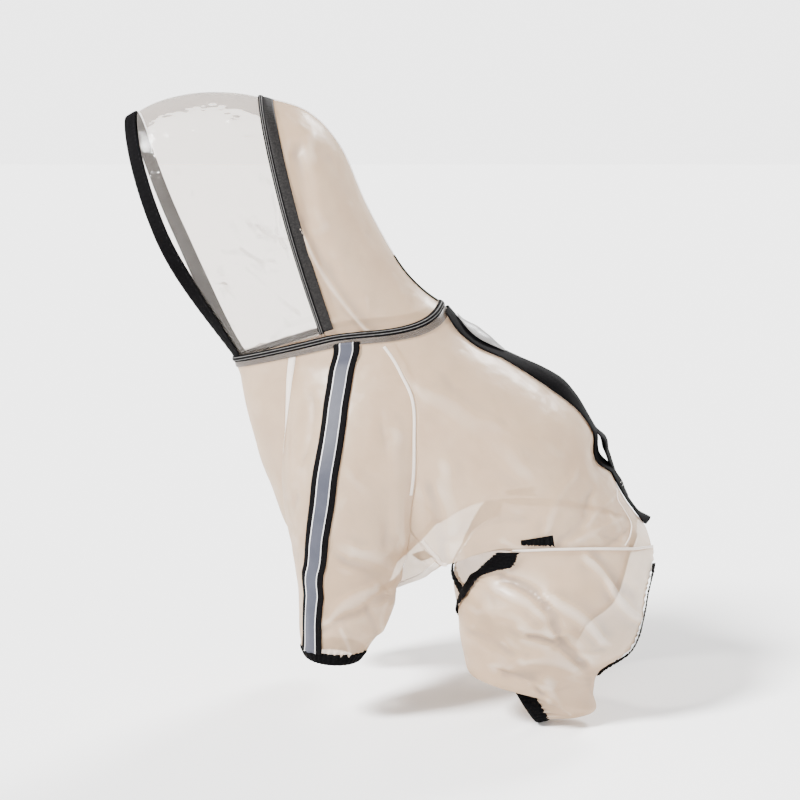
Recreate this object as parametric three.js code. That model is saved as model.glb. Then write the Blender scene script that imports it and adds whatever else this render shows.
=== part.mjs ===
// Dog raincoat with a hood, a clear visor and four leg tubes, worn and hollow.
// Millimetres. X runs from the face to the tail, Z is up, the left side of the coat is -Y.
// The origin is on the spine line at the withers, under the back panels.
import * as THREE from "three";

const FILM = 1.0;          // wall of the film panels
const FABRIC = 1.0;        // wall of tapes, strips and elastic
const THIN = 0.8;          // wall of the reflectors and the label
const DOUBLED = 2.2;       // wall of the folded face binding
const INSET = 0.2;         // each panel edge stops this short of its seam line
const LIFT = 1.5;          // what lies on a panel has its face this far out from it
const NECK = 0.095;        // station of the panel edges at the neck seam, from its middle
const NECK_TAPE = 0.08;    // half height of the neck tape, in stations
const DEG = Math.PI / 180;

const MATERIALS = {
  film: new THREE.MeshStandardMaterial({ color: 0xdccfc4, roughness: 0.45 }),
  clear: new THREE.MeshStandardMaterial({ color: 0xe9e4dc, roughness: 0.12 }),
  seam: new THREE.MeshStandardMaterial({ color: 0x9a948e, roughness: 0.5 }),
  fabric: new THREE.MeshStandardMaterial({ color: 0x16151a, roughness: 0.8 }),
  reflective: new THREE.MeshStandardMaterial({ color: 0x8f92a3, roughness: 0.35 }),
};

// names one column for each number of a row
function table(names, rows) {
  const keys = names.split(" ");
  return rows.map((row) => Object.fromEntries(keys.map((key, i) => [key, row[i]])));
}

// smooth value of every column at a place counted in rows, straight on past the ends
function at(rows, place) {
  const last = rows.length - 1;
  const i = Math.min(Math.max(Math.floor(place), 0), last - 1);
  const t = place - i;
  const out = {};
  for (const key of Object.keys(rows[0])) {
    const b = rows[i][key];
    const c = rows[i + 1][key];
    const a = i > 0 ? rows[i - 1][key] : 2 * b - c;
    const d = i + 2 <= last ? rows[i + 2][key] : 2 * c - b;
    const square = 2 * a - 5 * b + 4 * c - d;
    const cube = 3 * b - a - 3 * c + d;
    out[key] = 0.5 * (2 * b + (c - a) * t + square * t * t + cube * t ** 3);
  }
  return out;
}

// the same, with the place found from a rising column
function whenIs(rows, key, value) {
  let i = 0;
  while (i < rows.length - 2 && rows[i + 1][key] <= value) i += 1;
  return at(rows, i + (value - rows[i][key]) / (rows[i + 1][key] - rows[i][key]));
}

const vec = (x, y, z) => new THREE.Vector3(x, y, z);
const mix = (a, b, t) => a + (b - a) * t;
const smooth = (t) => THREE.MathUtils.smoothstep(t, 0, 1);
const bump = (t) => (Math.abs(t) < 1 ? (1 - t * t) ** 2 : 0);

// The body: a row for each section from the neck seam to the tail opening
const BODY = table("spineX spineZ chestX chestZ half", [
  [-24, 28, -194, -17, 58],
  [1, 1, -188, -44, 69],
  [31, -17, -180, -78, 84],
  [64, -39, -168, -118, 97],
  [90, -60, -148, -163, 106],
  [107, -88, -106, -199, 110],
  [119, -115, -54, -219, 110],
  [129, -134, 1, -231, 106],
  [139, -148, 60, -241, 97],
  [146, -156, 149, -257, 80],
]);
const BODY_SQUARE = 0.9;   // below 1 the sections are a little squarer than an ellipse
const BODY_NARROW = 0.42;  // share by which a section is narrower at the chest than at the spine

const NECK_SAG = 0.26;     // how far, in stations, the neck seam sags over the shoulders
const SAG_ANGLE = 50;      // angle at which it sags most

// point of the body at a station and an angle: 0 spine, 90 left side, 180 chest
function body(station, angle) {
  const from = Math.abs(angle > 180 ? 360 - angle : angle) - SAG_ANGLE;
  const row = at(BODY, station + NECK_SAG * bump(station / 1.7) * bump(from / 45));
  const c = Math.cos(angle * DEG);
  const s = Math.sin(angle * DEG);
  const wide = row.half * (1 - BODY_NARROW * ((1 - c) / 2) ** 2);
  return vec(
    (row.spineX + row.chestX) / 2 + ((row.spineX - row.chestX) / 2) * c,
    -wide * Math.sign(s) * Math.abs(s) ** BODY_SQUARE,
    (row.spineZ + row.chestZ) / 2 + ((row.spineZ - row.chestZ) / 2) * c,
  );
}
function bodyNormal(station, angle) {
  const along = body(station + 0.02, angle).sub(body(station - 0.02, angle));
  const round = body(station, angle + 0.5).sub(body(station, angle - 0.5));
  return along.cross(round).normalize().negate();
}
const bodyAt = (station, angle, out = 0) => {
  const normal = bodyNormal(station, angle);
  return { p: body(station, angle).addScaledVector(normal, out), n: normal };
};

// Seam lines on the body, in stations and degrees,
// with the share of the sleeve's open part that lies above each row
const FRONT_RAGLAN = table("share station angle", [
  [0, NECK, 116.2],
  [0.175, 0.79, 123.7],
  [0.32, 1.72, 133.1],
  [0.456, 2.44, 141.4],
  [0.577, 2.98, 149],
  [0.69, 3.5, 156],
  [0.82, 4.05, 162],
  [0.913, 4.6, 165.5],
  [0.973, 5.0, 163.5],
  [1, 5.3, 157],
]);
const REAR_RAGLAN = table("share station angle", [
  [0, NECK, 70],
  [0.09, 0.7, 69.2],
  [0.18, 1.25, 70.7],
  [0.28, 2.05, 75.2],
  [0.4, 2.9, 85.3],
  [0.52, 3.64, 93.7],
  [0.63, 4.1, 101],
  [0.738, 4.48, 107.6],
]);
const UNDERARM = table("share station angle", [
  [0.738, 4.48, 107.6],
  [0.8, 4.74, 113.6],
  [0.86, 4.98, 120],
  [0.93, 5.25, 131],
  [0.97, 5.35, 144],
  [1, 5.3, 157],
]);

// Side panel: each row runs from the spine to an edge point on the raglan, side seam, hem or leg
const SIDE = table("spine station angle", [
  ...REAR_RAGLAN.map((row) => [row.station, row.station, row.angle]),
  [4.71, 4.7, 108.7],
  [4.95, 4.92, 109.8],
  [5.2, 5.15, 110.9],
  [5.4, 5.37, 112],
  [5.6, 5.42, 100],
  [5.9, 5.54, 90.5],
  [6.2, 5.74, 86],
  [6.6, 6.27, 78],
  [7.2, 7.1, 63],
  [7.85, 7.85, 51.5],
  [8.4, 8.4, 44.5],
  [9.0, 9.0, 37],
]);
const SIDE_SEAM_ROWS = [0, 0.25, 0.5, 0.75, 1];
const SPINE_EDGE = 0.15;   // degrees, half of the slit between the side panels
// Belly band: each row runs from an armhole or chest point to a hem point
const HEM = [[5.37, 112], [5.42, 117], [5.47, 123], [5.5, 133], [5.52, 145], [5.52, 157]];
const BELLY = table("station angle hem hemAngle", [
  ...UNDERARM.map((row, i) => [row.station, row.angle, ...HEM[i]]),
  [5.3, 168.5, 5.53, 168.5],
  [5.3, 180, 5.54, 180],
]);

// Sleeve sections: share down, front and rear x, height, centre and half width across,
// angles at which the section starts and ends, drop of its rear side
const SLEEVE = table("share front rear z y half start end drop", [
  [0.0, -146, -80, 6, -8, 54, 14, 156, 0],
  [0.14, -151, -58, -30, -38, 48, 6, 150, 0],
  [0.28, -153, -44, -69, -50, 47, -11, 143, 0],
  [0.42, -151, -44, -109, -56, 46, -27, 141, 0],
  [0.56, -147, -48, -149, -60, 43, -40, 148, 0],
  [0.66, -143, -54, -177, -63, 40, -60, 171, 0],
  [0.72, -141, -58.5, -193, -64.3, 38.7, -85, 213, 0],
  [0.745, -140.5, -60, -200.5, -65, 38.3, -113, 247, 0],
  [0.8, -140, -64.5, -215, -66, 36, -113, 247, 0],
  [0.86, -139.5, -71, -228, -67, 33, -113, 247, -1],
  [0.93, -138, -81, -237, -69, 28, -113, 247, -2],
  [1.0, -137, -86, -242, -70, 24.5, -113, 247, -4],
  [1.09, -133, -92, -251, -70, 23, -113, 247, -3],
]);
const ARMPIT = 0.745;      // share down at which the sleeve becomes a closed tube
const ARM_FREE = 0.9;      // share down at which it no longer follows the body
const ARM_LEAVE = 0.05;    // share down at which it starts to leave the body
const ARM_LOOSE = 0.42;    // share down at which it has left it
const ARM_TUCK = 2;        // how far the film tucks in behind the armpit
const SLEEVE_COLUMNS = 28;
const SLEEVE_ROWS = [
  ...REAR_RAGLAN.map((row) => row.share * ARMPIT),
  ...UNDERARM.slice(1).map((row) => row.share * ARMPIT),
  0.8, 0.85, 0.9, 0.95, 1.0,
];
const GATHER = 1.1;        // height of the gathers at a sleeve cuff
const GATHER_FROM = 0.8;   // share down at which they start
const CUFF_RIB = 0.6;      // height of the ribs of a gathered cuff

function sleeveRing(row, angle) {
  const c = Math.cos(angle * DEG);
  return vec(
    (row.front + row.rear) / 2 + ((row.front - row.rear) / 2) * c,
    row.y - row.half * Math.sin(angle * DEG),
    row.z + (row.drop * (1 - c)) / 2,
  );
}
function sleeveEnds(share) {
  const t = Math.min(share / ARMPIT, 1);
  const seam = t <= UNDERARM[0].share ? REAR_RAGLAN : UNDERARM;
  return { front: whenIs(FRONT_RAGLAN, "share", t), rear: whenIs(seam, "share", t) };
}
// point of the left sleeve, round from its front seam (0) over the outside to its rear seam (1)
function sleeve(share, round) {
  const row = whenIs(SLEEVE, "share", share);
  const angle = mix(row.start, row.end, round);
  const point = sleeveRing(row, angle);
  const { front, rear } = sleeveEnds(share);
  const tuck = ARM_TUCK * bump((angle - 225) / 65) * bump((share - 0.68) / 0.2);
  const heart = vec((row.front + row.rear) / 2, row.y, point.z);
  point.addScaledVector(heart.sub(point).normalize(), tuck);
  if (share < ARM_FREE) {
    const hold = 1 - smooth((share - ARMPIT) / (ARM_FREE - ARMPIT));
    const atFront = Math.max(0, 1 - round / 0.35) ** 2 * hold;
    const atRear = Math.max(0, 1 - (1 - round) / 0.35) ** 2 * hold;
    point.addScaledVector(body(front.station, front.angle).sub(sleeveRing(row, row.start)), atFront);
    point.addScaledVector(body(rear.station, rear.angle).sub(sleeveRing(row, row.end)), atRear);
  }
  const leave = smooth((share - ARM_LEAVE) / (ARM_LOOSE - ARM_LEAVE));
  if (leave < 1) {
    const flat = body(mix(front.station, rear.station, round), mix(front.angle, rear.angle, round));
    point.lerpVectors(flat, point.clone(), leave);
  }
  return point;
}

// Rear leg sections: front and rear x and z, centre and half width across, start and end angles
const LEG = table("frontX frontZ rearX rearZ y half start end", [
  [30, -157, 140, -155, -42, 60, 50, 172],
  [8, -177, 141, -186, -58, 50, 26, 179],
  [-8, -202, 137, -216, -66, 48, 0, 181],
  [-11, -222, 128, -243, -68, 46, -34, 176],
  [-7, -247, 104, -261, -70, 42, -66, 192],
  [-1, -264, 99, -280, -72, 37, -90, 270],
  [18, -262, 100, -293, -74, 31, -90, 270],
  [36, -261, 86, -299, -75, 25, -90, 270],
  [44, -265, 63, -300, -76, 20, -90, 270],
  [31, -267, 53, -302, -77, 18, -90, 270],
]);
const LEG_LINE = table("station angle", [
  [5.69, 85], [6.27, 71], [7.17, 56.1], [8.29, 42.3], [8.98, 36],
]);
const LEG_TOP = 1.6;       // rows over which the leg leaves the body
const LEG_OUT = 2.4;       // how far the leg's top edge lies out from the body
const LEG_CROTCH = 4.45;   // row at which the leg becomes a closed tube
const LEG_ROWS = [0, 0.5, 1, 1.6, 2.2, 2.9, 3.5, 4.0, LEG_CROTCH, 5.1, 5.8, 6.5, 7.1, 7.6, 8];
const LEG_COLUMNS = 26;
const LEG_GATHER = 0.8;    // height of the gathers at a leg cuff
const LEG_GATHER_FROM = 6.6;

function legRing(row, angle) {
  const c = Math.cos(angle * DEG);
  return vec(
    (row.frontX + row.rearX) / 2 + ((row.frontX - row.rearX) / 2) * c,
    row.y - row.half * Math.sin(angle * DEG),
    (row.frontZ + row.rearZ) / 2 + ((row.frontZ - row.rearZ) / 2) * c,
  );
}
function legSpan(place) {
  const row = at(LEG, place);
  if (place >= LEG_CROTCH) return { start: -90, end: 270 };
  if (place > 4) {
    const t = (place - 4) / (LEG_CROTCH - 4);
    return { start: mix(LEG[4].start, -90, t), end: mix(LEG[4].end, 270, t) };
  }
  return row;
}
// point of the left rear leg at a section and an angle: 0 front, 90 outside, 180 rear
function legAt(place, angle) {
  const point = legRing(at(LEG, place), angle);
  const leave = smooth(place / LEG_TOP);
  if (leave < 1) {
    const span = legSpan(place);
    const round = (angle - span.start) / (span.end - span.start);
    const seam = at(LEG_LINE, round * (LEG_LINE.length - 1));
    const top = bodyAt(seam.station, seam.angle, LEG_OUT).p;
    point.addScaledVector(top.sub(legRing(LEG[0], mix(LEG[0].start, LEG[0].end, round))), 1 - leave);
  }
  return point;
}
const leg = (place, round) => legAt(place, mix(legSpan(place).start, legSpan(place).end, round));

// Hood arches: share from the neck seam (0) to the visor seam (1) and the face opening (2),
// angle of the foot on the neck ring, top of the arch, its squareness, half width, forward bow
const HOOD = table("share foot topX topZ power half bow", [
  [0.0, 88, -24, 28, 2.0, 58, 0],
  [0.15, 89.5, -46, 45, 2.1, 60, 0],
  [0.3, 91, -63, 68, 2.3, 61, 0],
  [0.5, 92.5, -86, 110, 2.6, 63, 0],
  [0.7, 94, -107, 157, 2.9, 64, 0],
  [0.85, 95, -134, 185, 3.1, 64, 1],
  [1.0, 96, -171, 196, 3.2, 64, 3],
  [1.25, 112, -198, 200, 3.2, 63, 5.5],
  [1.5, 133, -228, 199, 3.2, 62, 8],
  [1.75, 153, -256, 192, 3.2, 61, 10],
  [2.0, 172, -280, 179, 3.2, 60, 12],
]);
// point of the hood: round 0 at the left foot, 1 at the top
function hoodHalf(share, round) {
  const row = whenIs(HOOD, "share", share);
  const foot = body(-NECK, row.foot);
  const rise = Math.sin(round * 90 * DEG) ** (2 / row.power);
  const half = mix(-foot.y, row.half, smooth(rise / 0.55));
  const axis = vec(row.topX - foot.x, 0, row.topZ - foot.z);
  const forward = vec(-axis.z, 0, axis.x).normalize();
  const lift = 4 * row.bow * rise * (1 - rise);
  const point = vec(foot.x, 0, foot.z).addScaledVector(axis, rise).addScaledVector(forward, lift);
  point.y = -half * Math.cos(round * 90 * DEG);
  const near = Math.max(0, 1 - share / 0.3) ** 2;
  if (near > 0) point.lerp(body(-NECK, row.foot * (1 - round)), near);
  return point;
}
// the same from the left foot (0) over the top (1) to the right foot (2)
function hood(share, round) {
  const point = hoodHalf(share, round > 1 ? 2 - round : round);
  if (round > 1) point.y = -point.y;
  return point;
}

// places along an arch, from its left foot over the top, even in height at the feet
function arch(count, foot = 0) {
  return span(count, foot, 2 - foot).map((t) => {
    const up = t > 1 ? 2 - t : t;
    const round = Math.asin(Math.sin(up * 90 * DEG) ** 1.6) / 90 / DEG;
    return t > 1 ? 2 - round : round;
  });
}

// A grid of places { p, n } with the normals that are not given worked out from the points
function grid(rows, columns, place) {
  return rows.map((r, i) => columns.map((c, j) => {
    const found = place(r, c, i, j);
    return found.p ? found : { p: found, n: null };
  }));
}
function span(count, from = 0, to = 1) {
  return Array.from({ length: count }, (_, i) => mix(from, to, i / (count - 1)));
}
const mirror = (cells) => cells.map((row) => row.map(({ p, n }) => ({
  p: vec(p.x, -p.y, p.z),
  n: n && vec(n.x, -n.y, n.z),
})));

// fills in normals by differences, turned to the side on which `side` says is out
function withNormals(cells, out, loop) {
  const height = cells.length;
  const width = cells[0].length;
  const get = (i, j) => {
    const jj = loop ? (j + width) % width : Math.min(Math.max(j, 0), width - 1);
    return cells[Math.min(Math.max(i, 0), height - 1)][jj].p;
  };
  return cells.map((row, i) => row.map((cell, j) => {
    if (cell.n) return cell;
    const down = get(i + 1, j).clone().sub(get(i - 1, j));
    const along = get(i, j + 1).clone().sub(get(i, j - 1));
    const n = down.cross(along).normalize().multiplyScalar(out);
    return { p: cell.p, n };
  }));
}

// Largest folds, in side view: from, to, rise (below 0 a trough) and half width
const SIDE_FOLDS = table("fromX fromZ toX toZ rise width", [
  [-35, -39, 36, -94, 1.4, 16],
  [-34, -118, -23, -160, -1.2, 9],
  [-15, -149, 36, -133, -1.4, 9],
  [92, -120, 69, -148, -1.6, 9],
  [111, -139, 122, -159, 1.4, 8],
]);
const SLEEVE_FOLDS = table("fromX fromZ toX toZ rise width", [
  [-101, -166, -64, -198, -2.0, 10],
  [-113, -214, -78, -190, 1.8, 9],
  [-140, -120, -144, -168, -1.8, 9],
  [-60, -70, -56, -150, 2.0, 11],
]);
const LEG_FOLDS = table("fromX fromZ toX toZ rise width", [
  [24, -181, 56, -197, -2.8, 9],
  [55, -194, 99, -226, 2.4, 10],
  [44, -223, 60, -227, -2.4, 8],
  [63, -215, 87, -247, -2.4, 9],
  [89, -164, 108, -188, 2.6, 9],
  [109, -189, 126, -211, 2.4, 8],
  [25, -255, 53, -270, -2.4, 8],
]);
// raises or sinks a grid along its folds on the outer side of a left piece, seams left as they are
function folded(cells, folds, inner) {
  const facing = withNormals(cells, 1, false);
  return cells.map((row, i) => row.map((cell, j) => {
    const border = i === 0 || i === cells.length - 1 || j === 0 || j === row.length - 1;
    if (border) return cell;
    const { p } = cell;
    let rise = 0;
    for (const fold of folds) {
      const dx = fold.toX - fold.fromX;
      const dz = fold.toZ - fold.fromZ;
      const along = ((p.x - fold.fromX) * dx + (p.z - fold.fromZ) * dz) / (dx * dx + dz * dz);
      const t = Math.min(Math.max(along, 0), 1);
      const away = Math.hypot(p.x - fold.fromX - t * dx, p.z - fold.fromZ - t * dz);
      rise += fold.rise * Math.exp(-((away / fold.width) ** 2));
    }
    rise *= smooth((-p.y - inner) / 15);
    return { p: p.clone().addScaledVector(facing[i][j].n, rise), n: cell.n };
  }));
}

const group = new THREE.Group();
group.name = "dog_raincoat";

// makes one closed wall: the cells are its outer face, the inner face lies `wall` behind
function sheet(name, material, source, options = {}) {
  const { wall = FILM, loop = false, inset = 0, out = 1 } = options;
  const cells = withNormals(source, out, loop);
  const height = cells.length;
  const width = cells[0].length;
  const edge = cells.map((row, i) => row.map(({ p, n }, j) => {
    const moved = p.clone();
    const toward = (other) => {
      const step = other.p.clone().sub(p);
      if (step.length() > 0) moved.addScaledVector(step.normalize(), inset);
    };
    if (i === 0) toward(cells[1][j]);
    if (i === height - 1) toward(cells[height - 2][j]);
    if (!loop && j === 0) toward(row[1]);
    if (!loop && j === width - 1) toward(row[width - 2]);
    return { p: moved, n };
  }));
  const positions = [];
  for (const depth of [0, wall]) {
    for (const row of edge) {
      for (const { p, n } of row) positions.push(p.x - n.x * depth, p.y - n.y * depth, p.z - n.z * depth);
    }
  }
  const index = [];
  const back = height * width;
  const id = (i, j) => i * width + (j % width);
  const quad = (a, b, c, d) => index.push(a, b, c, a, c, d);
  const columns = loop ? width : width - 1;
  for (let i = 0; i < height - 1; i += 1) {
    for (let j = 0; j < columns; j += 1) {
      quad(id(i, j), id(i + 1, j), id(i + 1, j + 1), id(i, j + 1));
      quad(back + id(i, j), back + id(i, j + 1), back + id(i + 1, j + 1), back + id(i + 1, j));
    }
  }
  for (let j = 0; j < columns; j += 1) {
    const last = height - 1;
    quad(id(0, j), id(0, j + 1), back + id(0, j + 1), back + id(0, j));
    quad(id(last, j + 1), id(last, j), back + id(last, j), back + id(last, j + 1));
  }
  if (!loop) {
    const last = width - 1;
    for (let i = 0; i < height - 1; i += 1) {
      quad(id(i + 1, 0), id(i, 0), back + id(i, 0), back + id(i + 1, 0));
      quad(id(i, last), id(i + 1, last), back + id(i + 1, last), back + id(i, last));
    }
  }
  let volume = 0;
  const corner = (k) => vec(positions[3 * k], positions[3 * k + 1], positions[3 * k + 2]);
  for (let k = 0; k < index.length; k += 3) {
    volume += corner(index[k]).dot(corner(index[k + 1]).cross(corner(index[k + 2])));
  }
  if (volume < 0) {
    for (let k = 0; k < index.length; k += 3) [index[k + 1], index[k + 2]] = [index[k + 2], index[k + 1]];
  }
  const geometry = new THREE.BufferGeometry();
  geometry.setAttribute("position", new THREE.Float32BufferAttribute(positions, 3));
  geometry.setIndex(index);
  geometry.computeVertexNormals();
  const mesh = new THREE.Mesh(geometry, MATERIALS[material].clone());
  mesh.name = name;
  mesh.material.name = name;
  group.add(mesh);
  return mesh;
}
function pair(name, material, cells, options = {}) {
  sheet(`${name}_left`, material, cells, options);
  sheet(`${name}_right`, material, mirror(cells), { ...options, out: -(options.out ?? 1) });
}

// Body panels
const SIDE_COLUMNS = 12;
pair("side_panel", "film", folded(grid(SIDE, span(SIDE_COLUMNS), (row, c) => {
  const angle = mix(SPINE_EDGE, row.angle, c);
  return bodyAt(mix(row.spine, row.station, c ** 2), angle);
}), SIDE_FOLDS, 40), { inset: INSET });

const chestRows = SLEEVE_ROWS.filter((share) => share <= ARMPIT + 1e-9);
sheet("chest_panel", "film", grid(chestRows, span(9), (share, c) => {
  const { front } = sleeveEnds(share);
  return bodyAt(front.station, mix(front.angle, 360 - front.angle, c));
}), { inset: INSET });

const bellyColumns = [...BELLY, ...BELLY.slice(0, -1).reverse().map((row) => ({
  ...row,
  angle: 360 - row.angle,
  hemAngle: 360 - row.hemAngle,
}))];
sheet("belly_band", "film", grid(SIDE_SEAM_ROWS, bellyColumns, (r, row) => (
  bodyAt(mix(row.station, row.hem, r), mix(row.angle, row.hemAngle, r))
)), { inset: INSET });

// Sleeves, stripes and cuffs
// out on every other column, in on those between
const sideOf = (j) => (j % 2 ? 1 : -1);
pair("sleeve", "film", folded(grid(SLEEVE_ROWS, span(SLEEVE_COLUMNS), (share, round, i, j) => {
  const point = sleeve(share, round);
  const row = whenIs(SLEEVE, "share", share);
  const centre = vec((row.front + row.rear) / 2, row.y, point.z);
  const away = point.clone().sub(centre).normalize();
  const wave = GATHER * smooth((share - GATHER_FROM) / (1 - GATHER_FROM)) * sideOf(j);
  point.addScaledVector(away, wave);
  const onSeam = share <= ARMPIT + 1e-9 && (j === 0 || j === SLEEVE_COLUMNS - 1);
  if (!onSeam) return point;
  const { front, rear } = sleeveEnds(share);
  const seam = j === 0 ? front : rear;
  return { p: point, n: bodyNormal(seam.station, seam.angle) };
}), SLEEVE_FOLDS, 60), { inset: INSET });

const ring = (count) => span(count + 1, 0, 360).slice(0, -1);
const CUFF_SHARES = [1.012, 1.085];
pair("sleeve_cuff", "fabric", grid(CUFF_SHARES, ring(36), (share, angle, i, j) => {
  const row = whenIs(SLEEVE, "share", share);
  const rib = CUFF_RIB * sideOf(j);
  return sleeveRing({ ...row, half: row.half + rib, front: row.front - rib, rear: row.rear + rib }, angle);
}), { wall: FABRIC, loop: true });

// middle of the stripe on the sleeve, as a share of the way round
const STRIPE = table("share round", [
  [0.07, 0.58],
  [0.14, 0.52],
  [0.28, 0.53],
  [0.42, 0.57],
  [0.56, 0.53],
  [0.7, 0.46],
  [0.85, 0.445],
  [0.985, 0.442],
]);
const STRIPE_FROM = 0.075;
const STRIPE_TO = 0.985;
const STRIPE_HALF = 10.5;
const REFLECTOR_HALF = 5.3;
function ribbonOnSleeve(halfWidth, lift) {
  return grid(span(16, STRIPE_FROM, STRIPE_TO), [-1, 0, 1], (share, side) => {
    const { round } = whenIs(STRIPE, "share", share);
    const across = sleeve(share, round + 0.03).sub(sleeve(share, round - 0.03));
    const down = sleeve(share + 0.012, round).sub(sleeve(share - 0.012, round));
    const n = down.clone().cross(across).normalize();
    const perMm = 0.06 / across.length();
    const point = sleeve(share, round + side * halfWidth * perMm);
    const raise = lift + GATHER * smooth((share - GATHER_FROM) / (1 - GATHER_FROM));
    return { p: point.addScaledVector(n, raise), n };
  });
}
pair("sleeve_stripe", "fabric", ribbonOnSleeve(STRIPE_HALF, LIFT + 0.7), { wall: FABRIC });
pair("reflector", "reflective", ribbonOnSleeve(REFLECTOR_HALF, LIFT + 1.8), { wall: THIN });

// Rear legs
pair("rear_leg", "film", folded(grid(LEG_ROWS, span(LEG_COLUMNS), (place, round, i, j) => {
  const point = leg(place, round);
  const row = at(LEG, place);
  const centre = vec((row.frontX + row.rearX) / 2, row.y, (row.frontZ + row.rearZ) / 2);
  const wave = LEG_GATHER * smooth((place - LEG_GATHER_FROM) / (8 - LEG_GATHER_FROM)) * sideOf(j);
  point.addScaledVector(point.clone().sub(centre).normalize(), wave);
  if (i > 0) return point;
  const seam = at(LEG_LINE, round * (LEG_LINE.length - 1));
  return { p: point, n: bodyNormal(seam.station, seam.angle) };
}), LEG_FOLDS, 60), { inset: INSET });

const LEG_CUFF_PLACES = [8.08, 9.12];
pair("leg_cuff", "fabric", grid(LEG_CUFF_PLACES, ring(26), (place, angle, i, j) => {
  const row = at(LEG, place);
  const point = legRing(row, angle);
  const centre = vec((row.frontX + row.rearX) / 2, row.y, (row.frontZ + row.rearZ) / 2);
  return point.addScaledVector(point.clone().sub(centre).normalize(), CUFF_RIB * sideOf(j));
}), { wall: FABRIC, loop: true });

// gathered elastic along the open edge of a rear leg: the edge and a line one width inside it
const ELASTIC = table("edge edgeAngle inside insideAngle", [
  [0.05, 41.5, 0.05, 53.5],
  [0.45, 33, 0.62, 51],
  [1, 19, 0.85, 38],
  [1.35, 5, 1.3, 21],
  [1.85, -3, 1.9, 15],
  [2.4, -10, 2.4, 4],
  [3, -33, 3.05, -20],
  [3.5, -50, 3.6, -36],
  [3.95, -64, 4.25, -52],
  [4.3, -82, 4.75, -76],
  [4.38, -92, 4.85, -92],
  [4.3, -118, 4.72, -126],
  [4.12, -148, 4.52, -158],
  [3.95, -170, 4.2, -181],
  [3.5, -182, 3.6, -193],
  [3, -185, 3, -196],
  [2.5, -183, 2.5, -195],
  [2, -180.5, 2, -192],
  [1.5, -180, 1.5, -191],
  [1, -182, 1, -193],
  [0.5, -186, 0.5, -197],
]);
const ELASTIC_LIFT = LIFT + 1.3;
const RUFFLE = 0.5;        // height of the elastic's ruffles
const UNDER_LEG = 10;      // row of the elastic at which it passes under the leg
pair("leg_elastic", "fabric", grid(span(41, 0, ELASTIC.length - 1), [0, 0.5, 1], (place, c, i) => {
  const row = at(ELASTIC, place);
  const section = mix(row.edge, row.inside, c);
  const angle = mix(row.edgeAngle, row.insideAngle, c);
  const round = place > UNDER_LEG ? angle + 360 : angle;
  const here = legAt(section, round);
  const down = legAt(section + 0.05, round).sub(legAt(section - 0.05, round));
  const along = legAt(section, round + 2).sub(legAt(section, round - 2));
  const n = down.cross(along).normalize();
  return { p: here.addScaledVector(n, ELASTIC_LIFT + RUFFLE * sideOf(i)), n };
}), { wall: FABRIC });

// Hood
const HOOD_ROWS = [0, 0.08, 0.2, 0.35, 0.5, 0.65, 0.8, 0.9, 1];
pair("hood_back", "film", grid(HOOD_ROWS, arch(21).slice(0, 11), (share, round, i) => {
  const point = hoodHalf(share, round);
  if (i > 0) return point;
  return { p: point, n: bodyNormal(-NECK, HOOD[0].foot * (1 - round)) };
}), { inset: INSET, out: -1 });

const BINDING = 10;        // width of the face binding
const BINDING_GAP = 0.3;   // from the visor's edge to the binding
function shareBack(share, round, mm) {
  const step = hood(share, round).distanceTo(hood(share - 0.05, round)) / 0.05;
  return share - mm / step;
}
const VISOR_COLUMNS = 29;
sheet("visor", "clear", grid(span(7), arch(VISOR_COLUMNS), (t, round) => (
  hood(mix(1, shareBack(2, round, BINDING + BINDING_GAP), t), round)
)), { inset: INSET, out: -1 });
sheet("face_binding", "fabric", grid([0, 1], arch(41), (t, round) => (
  hood(mix(shareBack(2, round, BINDING), 2, t), round)
)), { wall: DOUBLED, out: -1 });

const HOOD_HEART = vec(-170, 0, 60);
// a strip along an arch of the hood, between two distances behind it
function hoodStrip(share, from, to, lift, rounds) {
  return grid([from, to], rounds, (mm, round) => {
    const here = hood(share, round);
    const next = hood(share, Math.min(round + 0.01, 2));
    const along = next.sub(hood(share, Math.max(round - 0.01, 0))).normalize();
    const behind = hood(share - 0.02, round).sub(here).normalize();
    const n = along.clone().cross(behind).normalize();
    if (n.dot(here.clone().sub(HOOD_HEART)) < 0) n.negate();
    const across = n.clone().cross(along).normalize();
    if (across.dot(behind) < 0) across.negate();
    return { p: here.addScaledVector(across, mm).addScaledVector(n, lift), n };
  });
}
const TAPE_HALF = 2;       // half width of the tape on the visor seam
const ALLOWANCE_FROM = 2.4;
const ALLOWANCE_TO = 10;
const SEAM_LIFT = LIFT + 0.4;
const tape = hoodStrip(1, -TAPE_HALF, TAPE_HALF, SEAM_LIFT, arch(33, 0.03));
sheet("visor_seam_tape", "fabric", tape, { wall: FABRIC });
const allowance = hoodStrip(1, ALLOWANCE_FROM, ALLOWANCE_TO, SEAM_LIFT, arch(33, 0.05));
sheet("visor_seam_allowance", "seam", allowance, { wall: FABRIC });

// Neck seam
const PIPING = 0.6;        // how far the neck tape stands out, on a wall three times as thick
const NECK_ALLOWANCE = [0.115, 0.32];
sheet("neck_tape", "fabric", grid([-NECK_TAPE, NECK_TAPE], ring(48), (station, angle) => (
  bodyAt(station, angle, PIPING)
)), { wall: 3 * PIPING, loop: true });
sheet("neck_allowance", "seam", grid(NECK_ALLOWANCE, ring(48), (station, angle) => (
  bodyAt(station, angle, LIFT)
)), { wall: FABRIC, loop: true });

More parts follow.
